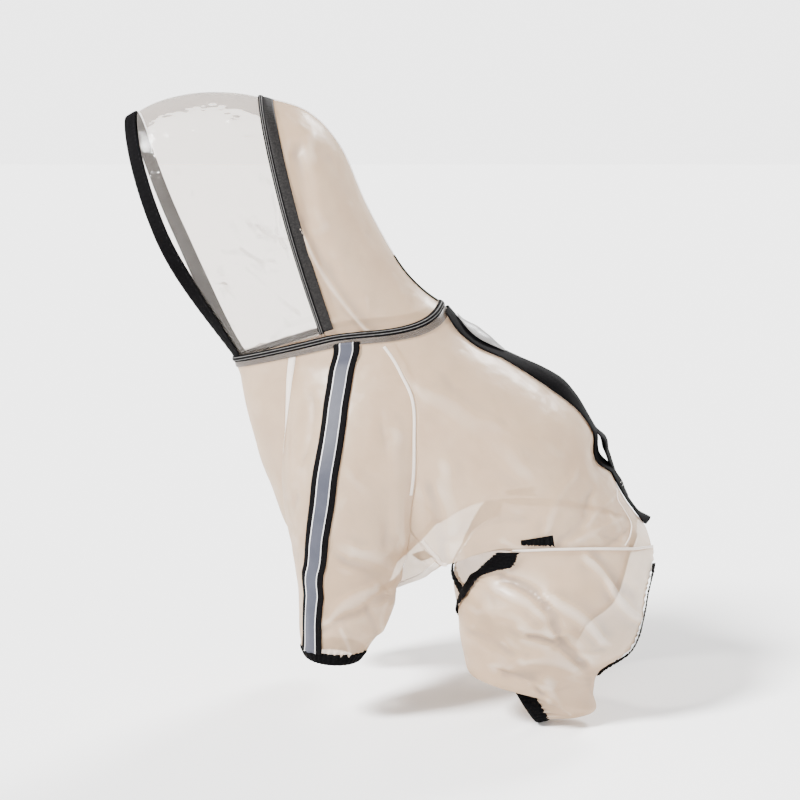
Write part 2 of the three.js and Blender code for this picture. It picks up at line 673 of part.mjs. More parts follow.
// Back closure strip and the tab at its tail end: how far it stands off the back at each station
const STRIP = table("station lift half", [
  [0.16, 3.0, 18],
  [0.6, 3.0, 24],
  [1.1, 3.2, 25],
  [1.7, 3.2, 22],
  [2.2, 5.5, 20],
  [2.7, 9, 19],
  [3.2, 10.5, 19],
  [3.7, 7, 19],
  [4.1, 4, 18],
  [4.5, 3.2, 17],
  [4.9, 5.5, 17],
  [5.3, 4.5, 17],
  [5.9, 3.2, 16],
  [6.3, 4.4, 15],
  [6.7, 3.6, 14],
  [7.1, 3.2, 12],
  [7.6, 3.2, 6],
  [7.95, 3.4, 9],
  [8.3, 4.6, 14],
  [8.7, 6.2, 13],
  [9.0, 7.4, 6],
]);
function onSpine(station, mm, lift) {
  const row = at(BODY, station);
  const share = Math.min(Math.abs(mm) / row.half, 1) ** (1 / BODY_SQUARE);
  return bodyAt(station, Math.sign(mm) * Math.asin(share) / DEG, lift);
}
const EDGE_AT_NECK = 3.1;  // height of the strip's edges where they cross the neck allowance
const EDGE_ON_BACK = 1.9;
sheet("back_strip", "fabric", grid(STRIP, span(7, -1, 1), (row, c) => {
  const foot = mix(EDGE_AT_NECK, EDGE_ON_BACK, smooth((row.station - 0.3) / 0.5));
  return onSpine(row.station, row.half * c, foot + (Math.max(row.lift, foot) - foot) * (1 - c * c));
}), { wall: FABRIC });
const FLAP = table("station lift half", [
  [0.42, 4.6, 9],
  [0.7, 7, 13],
  [1.0, 9.5, 15],
  [1.3, 9.5, 15],
  [1.6, 6.5, 12],
  [1.85, 4.8, 7],
]);
const FLAP_EDGE = 4.8;
sheet("leash_flap", "film", grid(FLAP, span(6, -1, 1), (row, c) => (
  onSpine(row.station, row.half * c, mix(FLAP_EDGE, row.lift, 1 - c * c))
)), { wall: FILM });
// dark tape at the foot of the hood's middle seam
const MIDDLE_SHARES = [0.1, 0.2, 0.32, 0.42];
const MIDDLE_HALF = 4;
sheet("hood_middle_tape", "fabric", grid(MIDDLE_SHARES, [-MIDDLE_HALF, 0, MIDDLE_HALF], (share, mm) => {
  const here = hood(share, 1);
  const up = hood(share + 0.03, 1).sub(hood(share - 0.03, 1)).normalize();
  const n = vec(up.z, 0, -up.x);
  return { p: vec(here.x, mm, here.z).addScaledVector(n, LIFT), n };
}), { wall: FABRIC });

// small bare label on the inside, at the left side seam
const LABEL = { stations: [4.93, 5.13], angles: [110.5, 116], depth: FILM + 0.5 };
sheet("label", "fabric", grid(LABEL.stations, LABEL.angles, (station, angle) => (
  bodyAt(station, angle, -LABEL.depth)
)), { wall: THIN });

export default group;
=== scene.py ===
# Dog raincoat with a hood: the dressed model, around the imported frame.
import math
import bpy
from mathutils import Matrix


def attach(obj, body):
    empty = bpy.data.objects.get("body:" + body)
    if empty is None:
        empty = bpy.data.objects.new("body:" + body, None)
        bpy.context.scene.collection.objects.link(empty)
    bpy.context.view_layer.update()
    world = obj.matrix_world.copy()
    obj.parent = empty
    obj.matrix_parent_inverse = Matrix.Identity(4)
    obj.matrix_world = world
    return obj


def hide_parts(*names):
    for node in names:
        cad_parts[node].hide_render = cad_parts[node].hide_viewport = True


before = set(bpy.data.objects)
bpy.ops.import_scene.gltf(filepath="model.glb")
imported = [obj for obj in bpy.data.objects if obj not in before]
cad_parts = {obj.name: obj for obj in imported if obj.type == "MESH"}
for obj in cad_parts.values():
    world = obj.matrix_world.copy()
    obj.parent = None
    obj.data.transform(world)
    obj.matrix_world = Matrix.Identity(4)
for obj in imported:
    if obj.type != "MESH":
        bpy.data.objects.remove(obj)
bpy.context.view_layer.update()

from types import SimpleNamespace

import bpy
import numpy as np
from mathutils import Vector

MM = 0.001
RAD = math.pi / 180


# Camera: the photograph's angle, a little above the coat and square to its left side
CAMERA_PLACE = (-58.0, -1500.0, 158.8)
CAMERA_PITCH = 8.0
LENS = 82.1

camera = bpy.data.objects.new("camera", bpy.data.cameras.new("camera"))
camera.data.lens = LENS
camera.data.sensor_width = 36
camera.location = [c * MM for c in CAMERA_PLACE]
camera.rotation_euler = ((90 - CAMERA_PITCH) * RAD, 0, 0)
bpy.context.scene.collection.objects.link(camera)
bpy.context.scene.camera = camera


# Tables with named columns, read between their rows by a smooth curve
class Table:
    def __init__(self, names, rows):
        self.names = names.split()
        self.rows = np.array(rows, float)

    def at(self, place):
        place = np.asarray(place, float)
        last = len(self.rows) - 1
        i = np.clip(np.floor(place).astype(int), 0, last - 1)
        t = (place - i)[..., None]
        b, c = self.rows[i], self.rows[i + 1]
        a = np.where((i > 0)[..., None], self.rows[i - 1], 2 * b - c)
        d = np.where((i + 2 <= last)[..., None], self.rows[np.minimum(i + 2, last)], 2 * c - b)
        square, cube = 2 * a - 5 * b + 4 * c - d, 3 * b - a - 3 * c + d
        value = 0.5 * (2 * b + (c - a) * t + square * t**2 + cube * t**3)
        return SimpleNamespace(**{name: value[..., k] for k, name in enumerate(self.names)})

    def when(self, name, value):
        column = self.rows[:, self.names.index(name)]
        value = np.asarray(value, float)
        i = np.clip(np.searchsorted(column, value, side="right") - 1, 0, len(column) - 2)
        return self.at(i + (value - column[i]) / (column[i + 1] - column[i]))


def smooth(t):
    t = np.clip(t, 0, 1)
    return t * t * (3 - 2 * t)


def bump(t):
    return np.where(np.abs(t) < 1, (1 - np.clip(t, -1, 1) ** 2) ** 2, 0)


def mix(a, b, t):
    return a + (b - a) * t


def unit(v):
    return v / np.maximum(np.linalg.norm(v, axis=-1, keepdims=True), 1e-9)


def point(x, y, z):
    return np.stack(np.broadcast_arrays(x, y, z), -1).astype(float)


# The body, from the neck seam to the tail opening
NECK = 0.095
BODY = Table("spine_x spine_z chest_x chest_z half", [
    (-24, 28, -194, -17, 58),
    (1, 1, -188, -44, 69),
    (31, -17, -180, -78, 84),
    (64, -39, -168, -118, 97),
    (90, -60, -148, -163, 106),
    (107, -88, -106, -199, 110),
    (119, -115, -54, -219, 110),
    (129, -134, 1, -231, 106),
    (139, -148, 60, -241, 97),
    (146, -156, 149, -257, 80),
])
SQUARE = 0.9
NARROW = 0.42


NECK_SAG = 0.26
SAG_ANGLE = 50


def body(station, angle):
    """Point of the body: 0 degrees on the spine, 90 on the left side, 180 on the chest."""
    station, angle = np.broadcast_arrays(np.asarray(station, float), np.asarray(angle, float))
    apart = np.abs(np.where(angle > 180, 360 - angle, angle)) - SAG_ANGLE
    row = BODY.at(station + NECK_SAG * bump(station / 1.7) * bump(apart / 45))
    c, s = np.cos(angle * RAD), np.sin(angle * RAD)
    wide = row.half * (1 - NARROW * ((1 - c) / 2) ** 2)
    return point(
        (row.spine_x + row.chest_x) / 2 + (row.spine_x - row.chest_x) / 2 * c,
        -wide * np.sign(s) * np.abs(s) ** SQUARE,
        (row.spine_z + row.chest_z) / 2 + (row.spine_z - row.chest_z) / 2 * c,
    )


def body_normal(station, angle):
    station, angle = np.broadcast_arrays(np.asarray(station, float), np.asarray(angle, float))
    along = body(station + 0.02, angle) - body(station - 0.02, angle)
    around = body(station, angle + 0.5) - body(station, angle - 0.5)
    return -unit(np.cross(along, around))


FRONT_RAGLAN = Table("share station angle", [
    (0, NECK, 116.2),
    (0.175, 0.79, 123.7),
    (0.32, 1.72, 133.1),
    (0.456, 2.44, 141.4),
    (0.577, 2.98, 149),
    (0.69, 3.5, 156),
    (0.82, 4.05, 162),
    (0.913, 4.6, 165.5),
    (0.973, 5.0, 163.5),
    (1, 5.3, 157),
])
REAR_RAGLAN = Table("share station angle", [
    (0, NECK, 70),
    (0.09, 0.7, 69.2),
    (0.18, 1.25, 70.7),
    (0.28, 2.05, 75.2),
    (0.4, 2.9, 85.3),
    (0.52, 3.64, 93.7),
    (0.63, 4.1, 101),
    (0.738, 4.48, 107.6),
])
UNDERARM = Table("share station angle", [
    (0.738, 4.48, 107.6),
    (0.8, 4.74, 113.6),
    (0.86, 4.98, 120),
    (0.93, 5.25, 131),
    (0.97, 5.35, 144),
    (1, 5.3, 157),
])
SIDE = Table("spine station angle", [(row[1], row[1], row[2]) for row in REAR_RAGLAN.rows] + [
    (4.71, 4.7, 108.7),
    (4.95, 4.92, 109.8),
    (5.2, 5.15, 110.9),
    (5.4, 5.37, 112),
    (5.6, 5.42, 100),
    (5.9, 5.54, 90.5),
    (6.2, 5.74, 86),
    (6.6, 6.27, 78),
    (7.2, 7.1, 63),
    (7.85, 7.85, 51.5),
    (8.4, 8.4, 44.5),
    (9.0, 9.0, 37),
])
BELLY_HEM = [(5.37, 112), (5.42, 117), (5.47, 123), (5.5, 133), (5.52, 145), (5.52, 157)]
BELLY = Table("station angle hem hem_angle", [
    (row[1], row[2], *hem) for row, hem in zip(UNDERARM.rows, BELLY_HEM)
] + [(5.3, 168.5, 5.53, 168.5), (5.3, 180, 5.54, 180)])

# Sleeve sections, from the neck to the cuff
SLEEVE = Table("share front rear z y half start end drop", [
    (0.0, -146, -80, 6, -8, 54, 14, 156, 0),
    (0.14, -151, -58, -30, -38, 48, 6, 150, 0),
    (0.28, -153, -44, -69, -50, 47, -11, 143, 0),
    (0.42, -151, -44, -109, -56, 46, -27, 141, 0),
    (0.56, -147, -48, -149, -60, 43, -40, 148, 0),
    (0.66, -143, -54, -177, -63, 40, -60, 171, 0),
    (0.72, -141, -58.5, -193, -64.3, 38.7, -85, 213, 0),
    (0.745, -140.5, -60, -200.5, -65, 38.3, -113, 247, 0),
    (0.8, -140, -64.5, -215, -66, 36, -113, 247, 0),
    (0.86, -139.5, -71, -228, -67, 33, -113, 247, -1),
    (0.93, -138, -81, -237, -69, 28, -113, 247, -2),
    (1.0, -137, -86, -242, -70, 24.5, -113, 247, -4),
    (1.09, -133, -92, -251, -70, 23, -113, 247, -3),
])
ARMPIT = 0.745
ARM_FREE = 0.9
ARM_LEAVE = 0.05
ARM_LOOSE = 0.42
ARM_TUCK = 2


def sleeve_ring(row, angle):
    c, s = np.cos(angle * RAD), np.sin(angle * RAD)
    x = (row.front + row.rear) / 2 + (row.front - row.rear) / 2 * c
    return point(x, row.y - row.half * s, row.z + row.drop * (1 - c) / 2)


def sleeve_ends(share):
    t = np.minimum(share / ARMPIT, 1)
    front, rear, under = (line.when("share", t) for line in (FRONT_RAGLAN, REAR_RAGLAN, UNDERARM))
    below = t > UNDERARM.rows[0][0]
    station = np.where(below, under.station, rear.station)
    return front, SimpleNamespace(station=station, angle=np.where(below, under.angle, rear.angle))


def sleeve(share, turn):
    """Point of the left sleeve: turn 0 at the front seam, over the outside to 1 at the rear seam."""
    share, turn = np.broadcast_arrays(np.asarray(share, float), np.asarray(turn, float))
    row = SLEEVE.when("share", share)
    angle = mix(row.start, row.end, turn)
    ring = sleeve_ring(row, angle)
    front, rear = sleeve_ends(share)
    heart = point((row.front + row.rear) / 2, row.y, ring[..., 2])
    tuck = ARM_TUCK * bump((angle - 225) / 65) * bump((share - 0.68) / 0.2)
    ring = ring + unit(heart - ring) * tuck[..., None]
    hold = 1 - smooth((share - ARMPIT) / (ARM_FREE - ARMPIT))
    at_front = np.maximum(0, 1 - turn / 0.35) ** 2 * hold
    at_rear = np.maximum(0, 1 - (1 - turn) / 0.35) ** 2 * hold
    ring = ring + (body(front.station, front.angle) - sleeve_ring(row, row.start)) * at_front[..., None]
    ring = ring + (body(rear.station, rear.angle) - sleeve_ring(row, row.end)) * at_rear[..., None]
    leave = smooth((share - ARM_LEAVE) / (ARM_LOOSE - ARM_LEAVE))[..., None]
    flat = body(mix(front.station, rear.station, turn), mix(front.angle, rear.angle, turn))
    return flat * (1 - leave) + ring * leave


# Rear leg sections, from its top edge to the foot
LEG = Table("front_x front_z rear_x rear_z y half start end", [
    (30, -157, 140, -155, -42, 60, 50, 172),
    (8, -177, 141, -186, -58, 50, 26, 179),
    (-8, -202, 137, -216, -66, 48, 0, 181),
    (-11, -222, 128, -243, -68, 46, -34, 176),
    (-7, -247, 104, -261, -70, 42, -66, 192),
    (-1, -264, 99, -280, -72, 37, -90, 270),
    (18, -262, 100, -293, -74, 31, -90, 270),
    (36, -261, 86, -299, -75, 25, -90, 270),
    (44, -265, 63, -300, -76, 20, -90, 270),
    (31, -267, 53, -302, -77, 18, -90, 270),
])
LEG_LINE = Table("station angle", [(5.69, 85), (6.27, 71), (7.17, 56.1), (8.29, 42.3), (8.98, 36)])
LEG_TOP = 1.6
LEG_OUT = 2.4
CROTCH = 4.45


def leg_ring(row, angle):
    c, s = np.cos(angle * RAD), np.sin(angle * RAD)
    x = (row.front_x + row.rear_x) / 2 + (row.front_x - row.rear_x) / 2 * c
    z = (row.front_z + row.rear_z) / 2 + (row.front_z - row.rear_z) / 2 * c
    return point(x, row.y - row.half * s, z)


def leg_span(place):
    row = LEG.at(place)
    last = LEG.rows[4]
    t = np.clip((place - 4) / (CROTCH - 4), 0, 1)
    start = np.where(place > 4, mix(last[6], -90, t), row.start)
    return start, np.where(place > 4, mix(last[7], 270, t), row.end)


def leg_at(place, angle):
    """Point of the left rear leg: 0 degrees in front, 90 outside, 180 behind."""
    place, angle = np.broadcast_arrays(np.asarray(place, float), np.asarray(angle, float))
    ring = leg_ring(LEG.at(place), angle)
    leave = smooth(place / LEG_TOP)
    start, end = leg_span(place)
    turn = (angle - start) / (end - start)
    seam = LEG_LINE.at(turn * (len(LEG_LINE.rows) - 1))
    top = body(seam.station, seam.angle) + body_normal(seam.station, seam.angle) * LEG_OUT
    first = LEG.at(np.zeros_like(place))
    rest = top - leg_ring(first, mix(first.start, first.end, turn))
    return ring + rest * (1 - leave)[..., None]


def leg(place, turn):
    place, turn = np.broadcast_arrays(np.asarray(place, float), np.asarray(turn, float))
    start, end = leg_span(place)
    return leg_at(place, mix(start, end, turn))


# Hood arches, from the neck seam (0) to the visor seam (1) and the face opening (2)
HOOD = Table("share foot top_x top_z power half bow", [
    (0.0, 88, -24, 28, 2.0, 58, 0),
    (0.15, 89.5, -46, 45, 2.1, 60, 0),
    (0.3, 91, -63, 68, 2.3, 61, 0),
    (0.5, 92.5, -86, 110, 2.6, 63, 0),
    (0.7, 94, -107, 157, 2.9, 64, 0),
    (0.85, 95, -134, 185, 3.1, 64, 1),
    (1.0, 96, -171, 196, 3.2, 64, 3),
    (1.25, 112, -198, 200, 3.2, 63, 5.5),
    (1.5, 133, -228, 199, 3.2, 62, 8),
    (1.75, 153, -256, 192, 3.2, 61, 10),
    (2.0, 172, -280, 179, 3.2, 60, 12),
])


def hood(share, turn):
    """Point of the hood: turn 0 at the left foot, 1 on top, 2 at the right foot."""
    share, turn = np.broadcast_arrays(np.asarray(share, float), np.asarray(turn, float))
    up = np.where(turn > 1, 2 - turn, turn)
    row = HOOD.when("share", share)
    foot = body(-NECK, row.foot)
    rise = np.sin(np.clip(up, 0, 1) * 90 * RAD) ** (2 / row.power)
    half = mix(-foot[..., 1], row.half, smooth(rise / 0.55))
    ax, az = row.top_x - foot[..., 0], row.top_z - foot[..., 2]
    length = np.hypot(ax, az)
    lift = 4 * row.bow * rise * (1 - rise) / length
    place = point(
        foot[..., 0] + ax * rise - az * lift,
        -half * np.cos(up * 90 * RAD),
        foot[..., 2] + az * rise + ax * lift,
    )
    near = (np.maximum(0, 1 - share / 0.3) ** 2)[..., None]
    place = place * (1 - near) + body(-NECK, row.foot * (1 - up)) * near
    place[..., 1] *= np.where(turn > 1, -1, 1)
    return place


def arch(count, foot=0.0):
    t = np.linspace(foot, 2 - foot, count)
    up = np.where(t > 1, 2 - t, t)
    turn = np.arcsin(np.sin(up * 90 * RAD) ** 1.6) / 90 / RAD
    return np.where(t > 1, 2 - turn, turn)


# Soft folds laid in one by one: ends in side view, sideways bow, rise (below 0 a trough), half width
FOLD = "from_x from_z to_x to_z bow rise width"
SIDE_FOLDS = {
    "left": Table(FOLD, [
        (-35, -39, 36, -94, 6, 1.5, 15),
        (-22, -24, 22, -58, -4, -0.9, 9),
        (18, -58, 66, -84, 3, 0.8, 12),
        (-34, -112, -25, -166, 3, -1.5, 9),
        (-22, -96, -8, -172, -5, 1.3, 12),
        (-15, -149, 36, -133, 4, -1.5, 9),
        (2, -166, 44, -147, -3, 1.0, 8),
        (92, -120, 69, -148, 5, -1.9, 8),
        (80, -104, 58, -140, -4, 1.3, 9),
        (111, -139, 122, -159, 2, 1.6, 7),
        (86, -158, 121, -150, -3, -1.6, 5),
        (84, -150, 118, -141, 2, 1.1, 5),
        (105, -150, 128, -163, 2, -1.3, 4),
        (112, -126, 92, -138, -2, 1.1, 6),
        (24, -150, 62, -158, -2, 0.9, 6),
    ]),
    "right": Table(FOLD, [
        (-30, -34, 44, -92, -7, 1.4, 14),
        (-12, -30, 34, -52, 4, -1.0, 9),
        (30, -62, 74, -92, -3, 0.9, 12),
        (-38, -104, -20, -160, 4, -1.6, 10),
        (-12, -104, 2, -168, -4, 1.2, 11),
        (-4, -152, 48, -138, -4, -1.4, 8),
        (12, -162, 40, -152, 3, 1.1, 9),
        (98, -112, 72, -150, -5, -1.7, 9),
        (74, -106, 50, -134, 4, 1.2, 10),
        (116, -136, 124, -162, -2, 1.5, 7),
        (80, -156, 116, -154, 3, -1.5, 6),
        (92, -146, 120, -138, -2, 1.2, 5),
        (30, -154, 66, -152, 2, 0.9, 7),
    ]),
}
SLEEVE_FOLDS = {
    "left": Table(FOLD, [
        (-101, -166, -64, -198, 5, -2.2, 9),
        (-92, -158, -56, -186, 5, 1.5, 9),
        (-113, -214, -78, -190, 4, 1.8, 8),
        (-118, -222, -92, -208, 3, -1.2, 6),
        (-140, -120, -144, -168, -3, -1.9, 8),
        (-133, -96, -139, -150, 3, 1.2, 9),
        (-60, -70, -56, -150, -4, 2.0, 10),
        (-72, -64, -70, -150, 4, -1.0, 8),
        (-128, -40, -134, -86, 4, -1.4, 8),
        (-122, -150, -104, -120, -4, 0.9, 10),
        (-96, -100, -78, -150, 6, 0.9, 12),
        (-134, -176, -128, -232, 2, 1.3, 6),
        (-140, -168, -136, -226, -2, -1.0, 5),
        (-84, -206, -76, -236, 2, -1.1, 6),
        (-66, -196, -72, -230, -3, 1.2, 6),
        (-104, -222, -98, -242, 1, 1.0, 4),
    ]),
    "right": Table(FOLD, [
        (-106, -160, -60, -190, 6, -2.1, 9),
        (-98, -150, -54, -176, -5, 1.4, 10),
        (-116, -208, -80, -186, -4, 1.7, 8),
        (-114, -224, -88, -210, -3, -1.3, 6),
        (-138, -112, -146, -160, 3, -1.8, 9),
        (-130, -90, -136, -144, -3, 1.3, 8),
        (-58, -80, -54, -146, 4, 1.8, 10),
        (-74, -70, -68, -140, -3, -1.1, 8),
        (-130, -44, -136, -94, -4, -1.3, 9),
        (-90, -104, -82, -156, -6, 1.0, 12),
        (-136, -180, -126, -228, -2, 1.2, 6),
        (-86, -202, -80, -238, -2, -1.2, 6),
        (-68, -190, -74, -226, 3, 1.1, 7),
        (-110, -220, -104, -242, -1, 0.9, 4),
    ]),
}
LEG_FOLDS = {
    "left": Table(FOLD, [
        (24, -181, 56, -197, 3, -4.1, 5.1),
        (20, -190, 52, -206, 3, 1.9, 8),
        (44, -223, 60, -227, 1, -3.5, 3.5),
        (38, -217, 66, -222, -2, 1.9, 6),
        (63, -215, 87, -247, -3, -3.5, 6),
        (55, -194, 99, -226, 5, 3.4, 6.8),
        (89, -164, 108, -188, 2, 3.8, 6),
        (108, -188, 131, -215, -2, 3.8, 6),
        (97, -162, 124, -192, -3, -1.9, 9),
        (25, -255, 53, -270, 4, -3.5, 6),
        (40, -244, 78, -250, 4, 1.8, 7),
        (66, -232, 100, -236, -3, -1.6, 6),
        (4, -208, 40, -212, 4, 1.4, 9),
        (-2, -226, 26, -236, 3, -1.3, 8),
        (60, -262, 76, -288, -3, 1.7, 6),
        (84, -250, 96, -276, 3, -1.6, 7),
        (44, -262, 60, -278, 2, 1.6, 4),
    ]),
    "right": Table(FOLD, [
        (28, -178, 62, -200, -3, -3.8, 6),
        (18, -192, 48, -202, -3, 2.0, 8),
        (40, -226, 58, -232, 2, -3.0, 3.5),
        (60, -212, 90, -242, 4, -3.4, 6),
        (52, -190, 96, -220, -5, 3.2, 7.6),
        (92, -166, 128, -210, 4, 3.6, 6.8),
        (84, -168, 112, -200, -3, -1.9, 8),
        (22, -252, 50, -272, -4, -3.2, 6),
        (44, -242, 80, -246, -4, 1.9, 7),
        (62, -230, 98, -240, 3, -1.7, 6),
        (2, -204, 36, -210, -4, 1.6, 9),
        (64, -264, 78, -290, 3, 1.6, 6),
        (86, -246, 98, -272, -3, -1.7, 7),
    ]),
}
HOOD_FOLDS = {
    "left": Table(FOLD, [
        (-140, 150, -136, 84, 5, -2.6, 9),
        (-128, 160, -118, 96, -4, 1.8, 10),
        (-136, 92, -66, -6, -7, 4.6, 3.6),
        (-128, 84, -60, -2, -6, -1.2, 8),
        (-112, 146, -84, 90, 3, -1.4, 9),
        (-112, 60, -104, -8, 3, -1.2, 9),
        (-96, 110, -58, 44, -3, 1.1, 9),
        (-84, 34, -74, -8, -2, 1.0, 8),
        (-148, 182, -128, 150, 3, 1.2, 8),
    ]),
    "right": Table(FOLD, [
        (-142, 146, -132, 80, -5, -2.4, 10),
        (-126, 154, -120, 90, 4, 1.7, 9),
        (-134, 88, -70, -2, 7, 1.5, 8),
        (-124, 80, -64, -8, 6, -1.3, 8),
        (-108, 140, -80, 84, -4, -1.3, 9),
        (-114, 54, -102, -10, -3, -1.1, 9),
        (-94, 104, -60, 40, 3, 1.2, 9),
        (-150, 180, -132, 146, -3, 1.1, 8),
    ]),
}
VISOR_FOLDS = {
    "left": Table(FOLD, [
        (-176, 96, -150, 80, 3, 1.6, 4),
        (-168, 86, -146, 92, -2, -1.4, 4),
        (-196, 74, -168, 66, 3, 1.5, 4),
        (-152, 110, -146, 70, -2, 1.5, 3.5),
        (-158, 118, -156, 84, 2, -1.2, 4),
        (-226, 160, -190, 96, 7, -1.8, 13),
        (-246, 140, -214, 60, -6, 1.6, 12),
        (-178, 60, -150, 20, 4, 1.3, 8),
        (-160, 4, -130, 20, 3, 1.2, 6),
        (-190, 176, -168, 132, 4, 1.3, 9),
        (-236, 178, -222, 120, 4, 1.1, 9),
        (-200, 40, -176, -6, -4, -1.2, 8),
    ]),
    "right": Table(FOLD, [
        (-180, 90, -154, 78, -3, 1.5, 4),
        (-192, 70, -166, 60, -3, 1.4, 5),
        (-154, 106, -148, 66, 2, 1.4, 4),
        (-222, 156, -186, 92, -7, -1.7, 13),
        (-244, 134, -210, 56, 6, 1.6, 12),
        (-174, 54, -146, 18, -4, 1.3, 8),
        (-194, 172, -170, 128, -4, 1.2, 9),
        (-204, 36, -178, -10, 4, -1.2, 8),
    ]),
}


SHARPEST = 1.15


def creased(points, folds):
    """Rise of the film at each point from the folds that pass it in side view."""
    x, z = points[..., 0], points[..., 2]
    rise = np.zeros(x.shape)
    for from_x, from_z, to_x, to_z, bow, height, width in folds.rows:
        dx, dz = to_x - from_x, to_z - from_z
        length = math.hypot(dx, dz)
        along = ((x - from_x) * dx + (z - from_z) * dz) / length**2
        t = np.clip(along, 0, 1)
        across = ((z - from_z) * dx - (x - from_x) * dz) / length - 4 * bow * t * (1 - t)
        beyond = (along - t) * length
        thin = width * (0.55 + 0.45 * np.sin(math.pi * np.clip(along, 0, 1)))
        soft = np.clip(width / 5, SHARPEST, 2)
        rise += height * np.exp(-(np.abs(across / thin) ** soft) - (beyond / width) ** 2)
    return rise


def facing(cells, out=1, loop=False):
    """Normals of a grid of points, on the side that `out` says is outside."""
    down = np.gradient(cells, axis=0)
    if loop:
        along = np.roll(cells, -1, 1) - np.roll(cells, 1, 1)
    else:
        along = np.gradient(cells, axis=1)
    return unit(np.cross(down, along)) * out


CREASE_CELLS = 3


class Skin:
    """A film surface: its plain form, and how far each place rises outward or sinks.

    out is 1 or -1, whichever turns the surface's normals to the outside of the coat.
    """

    def __init__(self, base, out, rise):
        self.base = base
        self.out = out
        self.rise = rise

    def normal(self, a, b, surface=None, step=0.004):
        form = surface or self.base
        down = form(a + step, b) - form(a - step, b)
        along = form(a, b + step) - form(a, b - step)
        return unit(np.cross(down, along)) * self.out

    def __call__(self, a, b):
        a, b = np.broadcast_arrays(np.asarray(a, float), np.asarray(b, float))
        plain = self.base(a, b)
        return plain + self.normal(a, b) * self.rise(plain, a, b)[..., None]

    def grid(self, a, b):
        return self(np.asarray(a)[:, None], np.asarray(b)[None, :])

    def creases(self, a, b):
        """1 along a sharp ridge of the film, -1 along a sharp trough, for each cell of a grid."""
        a, b = np.broadcast_arrays(np.asarray(a)[:, None], np.asarray(b)[None, :])
        rise = self.rise(self.base(a, b), a, b)
        wide = CREASE_CELLS
        around = np.pad(rise, wide, mode="edge")
        left, right = around[wide:-wide, :-2 * wide], around[wide:-wide, 2 * wide:]
        above, below = around[:-2 * wide, wide:-wide], around[2 * wide:, wide:-wide]
        sharp = rise - (left + right + above + below) / 4
        return np.sign(sharp) * np.sqrt(np.abs(sharp))

    def strip(self, a, b, low, high, lift, columns=3):
        """A flat strip along a path on the film, between two distances to its side."""
        a, b = np.broadcast_arrays(np.asarray(a, float), np.asarray(b, float))
        return flat_strip(self(a, b), self.normal(a, b, self), low, high, lift, columns)


def flat_strip(line, normal, low, high, lift, columns=3):
    """Cells of a strip beside a line; low, high and lift are millimetres, one or one a point."""
    side = unit(np.cross(normal, np.gradient(line, axis=0)))
    low, high, lift = [np.broadcast_to(v, len(line))[:, None, None] for v in (low, high, lift)]
    share = np.linspace(0, 1, columns)[None, :, None]
    return line[:, None] + side[:, None] * (low + (high - low) * share) + normal[:, None] * lift


def mirror(cells):
    return cells * np.array([1, -1, 1])


def sided(side, cells):
    return cells if side == "left" else mirror(cells)


def outer_share(points, inner):
    """1 on the outside of a left sleeve or leg, 0 on its inside."""
    return smooth((-points[..., 1] - inner) / 16)


OTHER = {"left": "right", "right": "left"}
TURN = 2 * math.pi


def pleats(turn, count, phase):
    """Uneven gathers round an elastic edge, from -1 to 1."""
    drift = 0.34 * np.sin(TURN * 3 * turn + phase) + 0.2 * np.sin(TURN * 7 * turn + 2 * phase)
    return np.sin(TURN * (count * turn + drift)) * (0.75 + 0.25 * np.sin(TURN * 5 * turn + phase))


# Panels: how each is folded and gathered
PLEAT = 1.3
PLEATS_ROUND_SLEEVE = 27
PLEATS_ROUND_LEG = 20
PLEATS_A_ROW = 4.6
CUFF_REACH = 0.13
LEG_REACH = 1.5
ELASTIC_REACH = 0.11


DENT = 7.5
DENT_STATION = 5.22


def dent(station, angle):
    """Hollow of the film under the strip, in front of the haunches."""
    return DENT * bump((station - DENT_STATION) / 0.62) * (1 - smooth((np.abs(angle) - 13) / 20))


def side_skin(side):
    def base(r, c):
        row = SIDE.at(r)
        angle = mix(0.15, row.angle, c)
        return body(mix(row.spine, row.station, c**2), angle)

    def rise(points, r, c):
        hold = smooth((1 - c) / 0.04) * smooth(c / 0.06) * smooth(r / 0.4)
        row = SIDE.at(r)
        hollow = dent(mix(row.spine, row.station, c**2), row.angle * c)
        return creased(points, SIDE_FOLDS[side]) * hold - hollow

    return Skin(base, -1, rise)


def chest_skin():
    def base(share, c):
        front, _ = sleeve_ends(share)
        return body(front.station, mix(front.angle, 360 - front.angle, c))

    def rise(points, share, c):
        waves = np.sin(share * 31 + 5 * c) * 0.35 + np.sin(share * 17 - 9 * c + 1) * 0.5
        return waves * smooth(c / 0.2) * smooth((1 - c) / 0.2) * smooth(share / 0.1)

    return Skin(base, -1, rise)


def belly_skin():
    last = len(BELLY.rows) - 1

    def base(r, c):
        place = (1 - np.abs(1 - 2 * c)) * last
        row = BELLY.at(place)
        angle = mix(row.angle, row.hem_angle, r)
        return body(mix(row.station, row.hem, r), np.where(c > 0.5, 360 - angle, angle))

    def rise(points, r, c):
        waves = 0.7 * np.sin(c * 40 + 2 * np.sin(c * 9))
        return waves * smooth(r) * smooth(c / 0.1) * smooth((1 - c) / 0.1)

    return Skin(base, -1, rise)


def sleeve_skin(side):
    def rise(points, share, turn):
        outer = outer_share(points, 52)
        folds = creased(points, SLEEVE_FOLDS[side]) * outer
        folds += creased(points, SLEEVE_FOLDS[OTHER[side]]) * (1 - outer) * 0.8
        hold = np.where(share < ARMPIT, smooth(turn / 0.05) * smooth((1 - turn) / 0.05), 1)
        phase = 0.4 if side == "left" else 1.9
        reach = CUFF_REACH * (0.62 + 0.38 * np.sin(TURN * 4 * turn + phase))
        gather = pleats(turn, PLEATS_ROUND_SLEEVE, phase) * smooth((share - 1 + reach) / reach)
        return folds * hold * smooth(share / 0.06) + PLEAT * gather

    return Skin(sleeve, 1, rise)


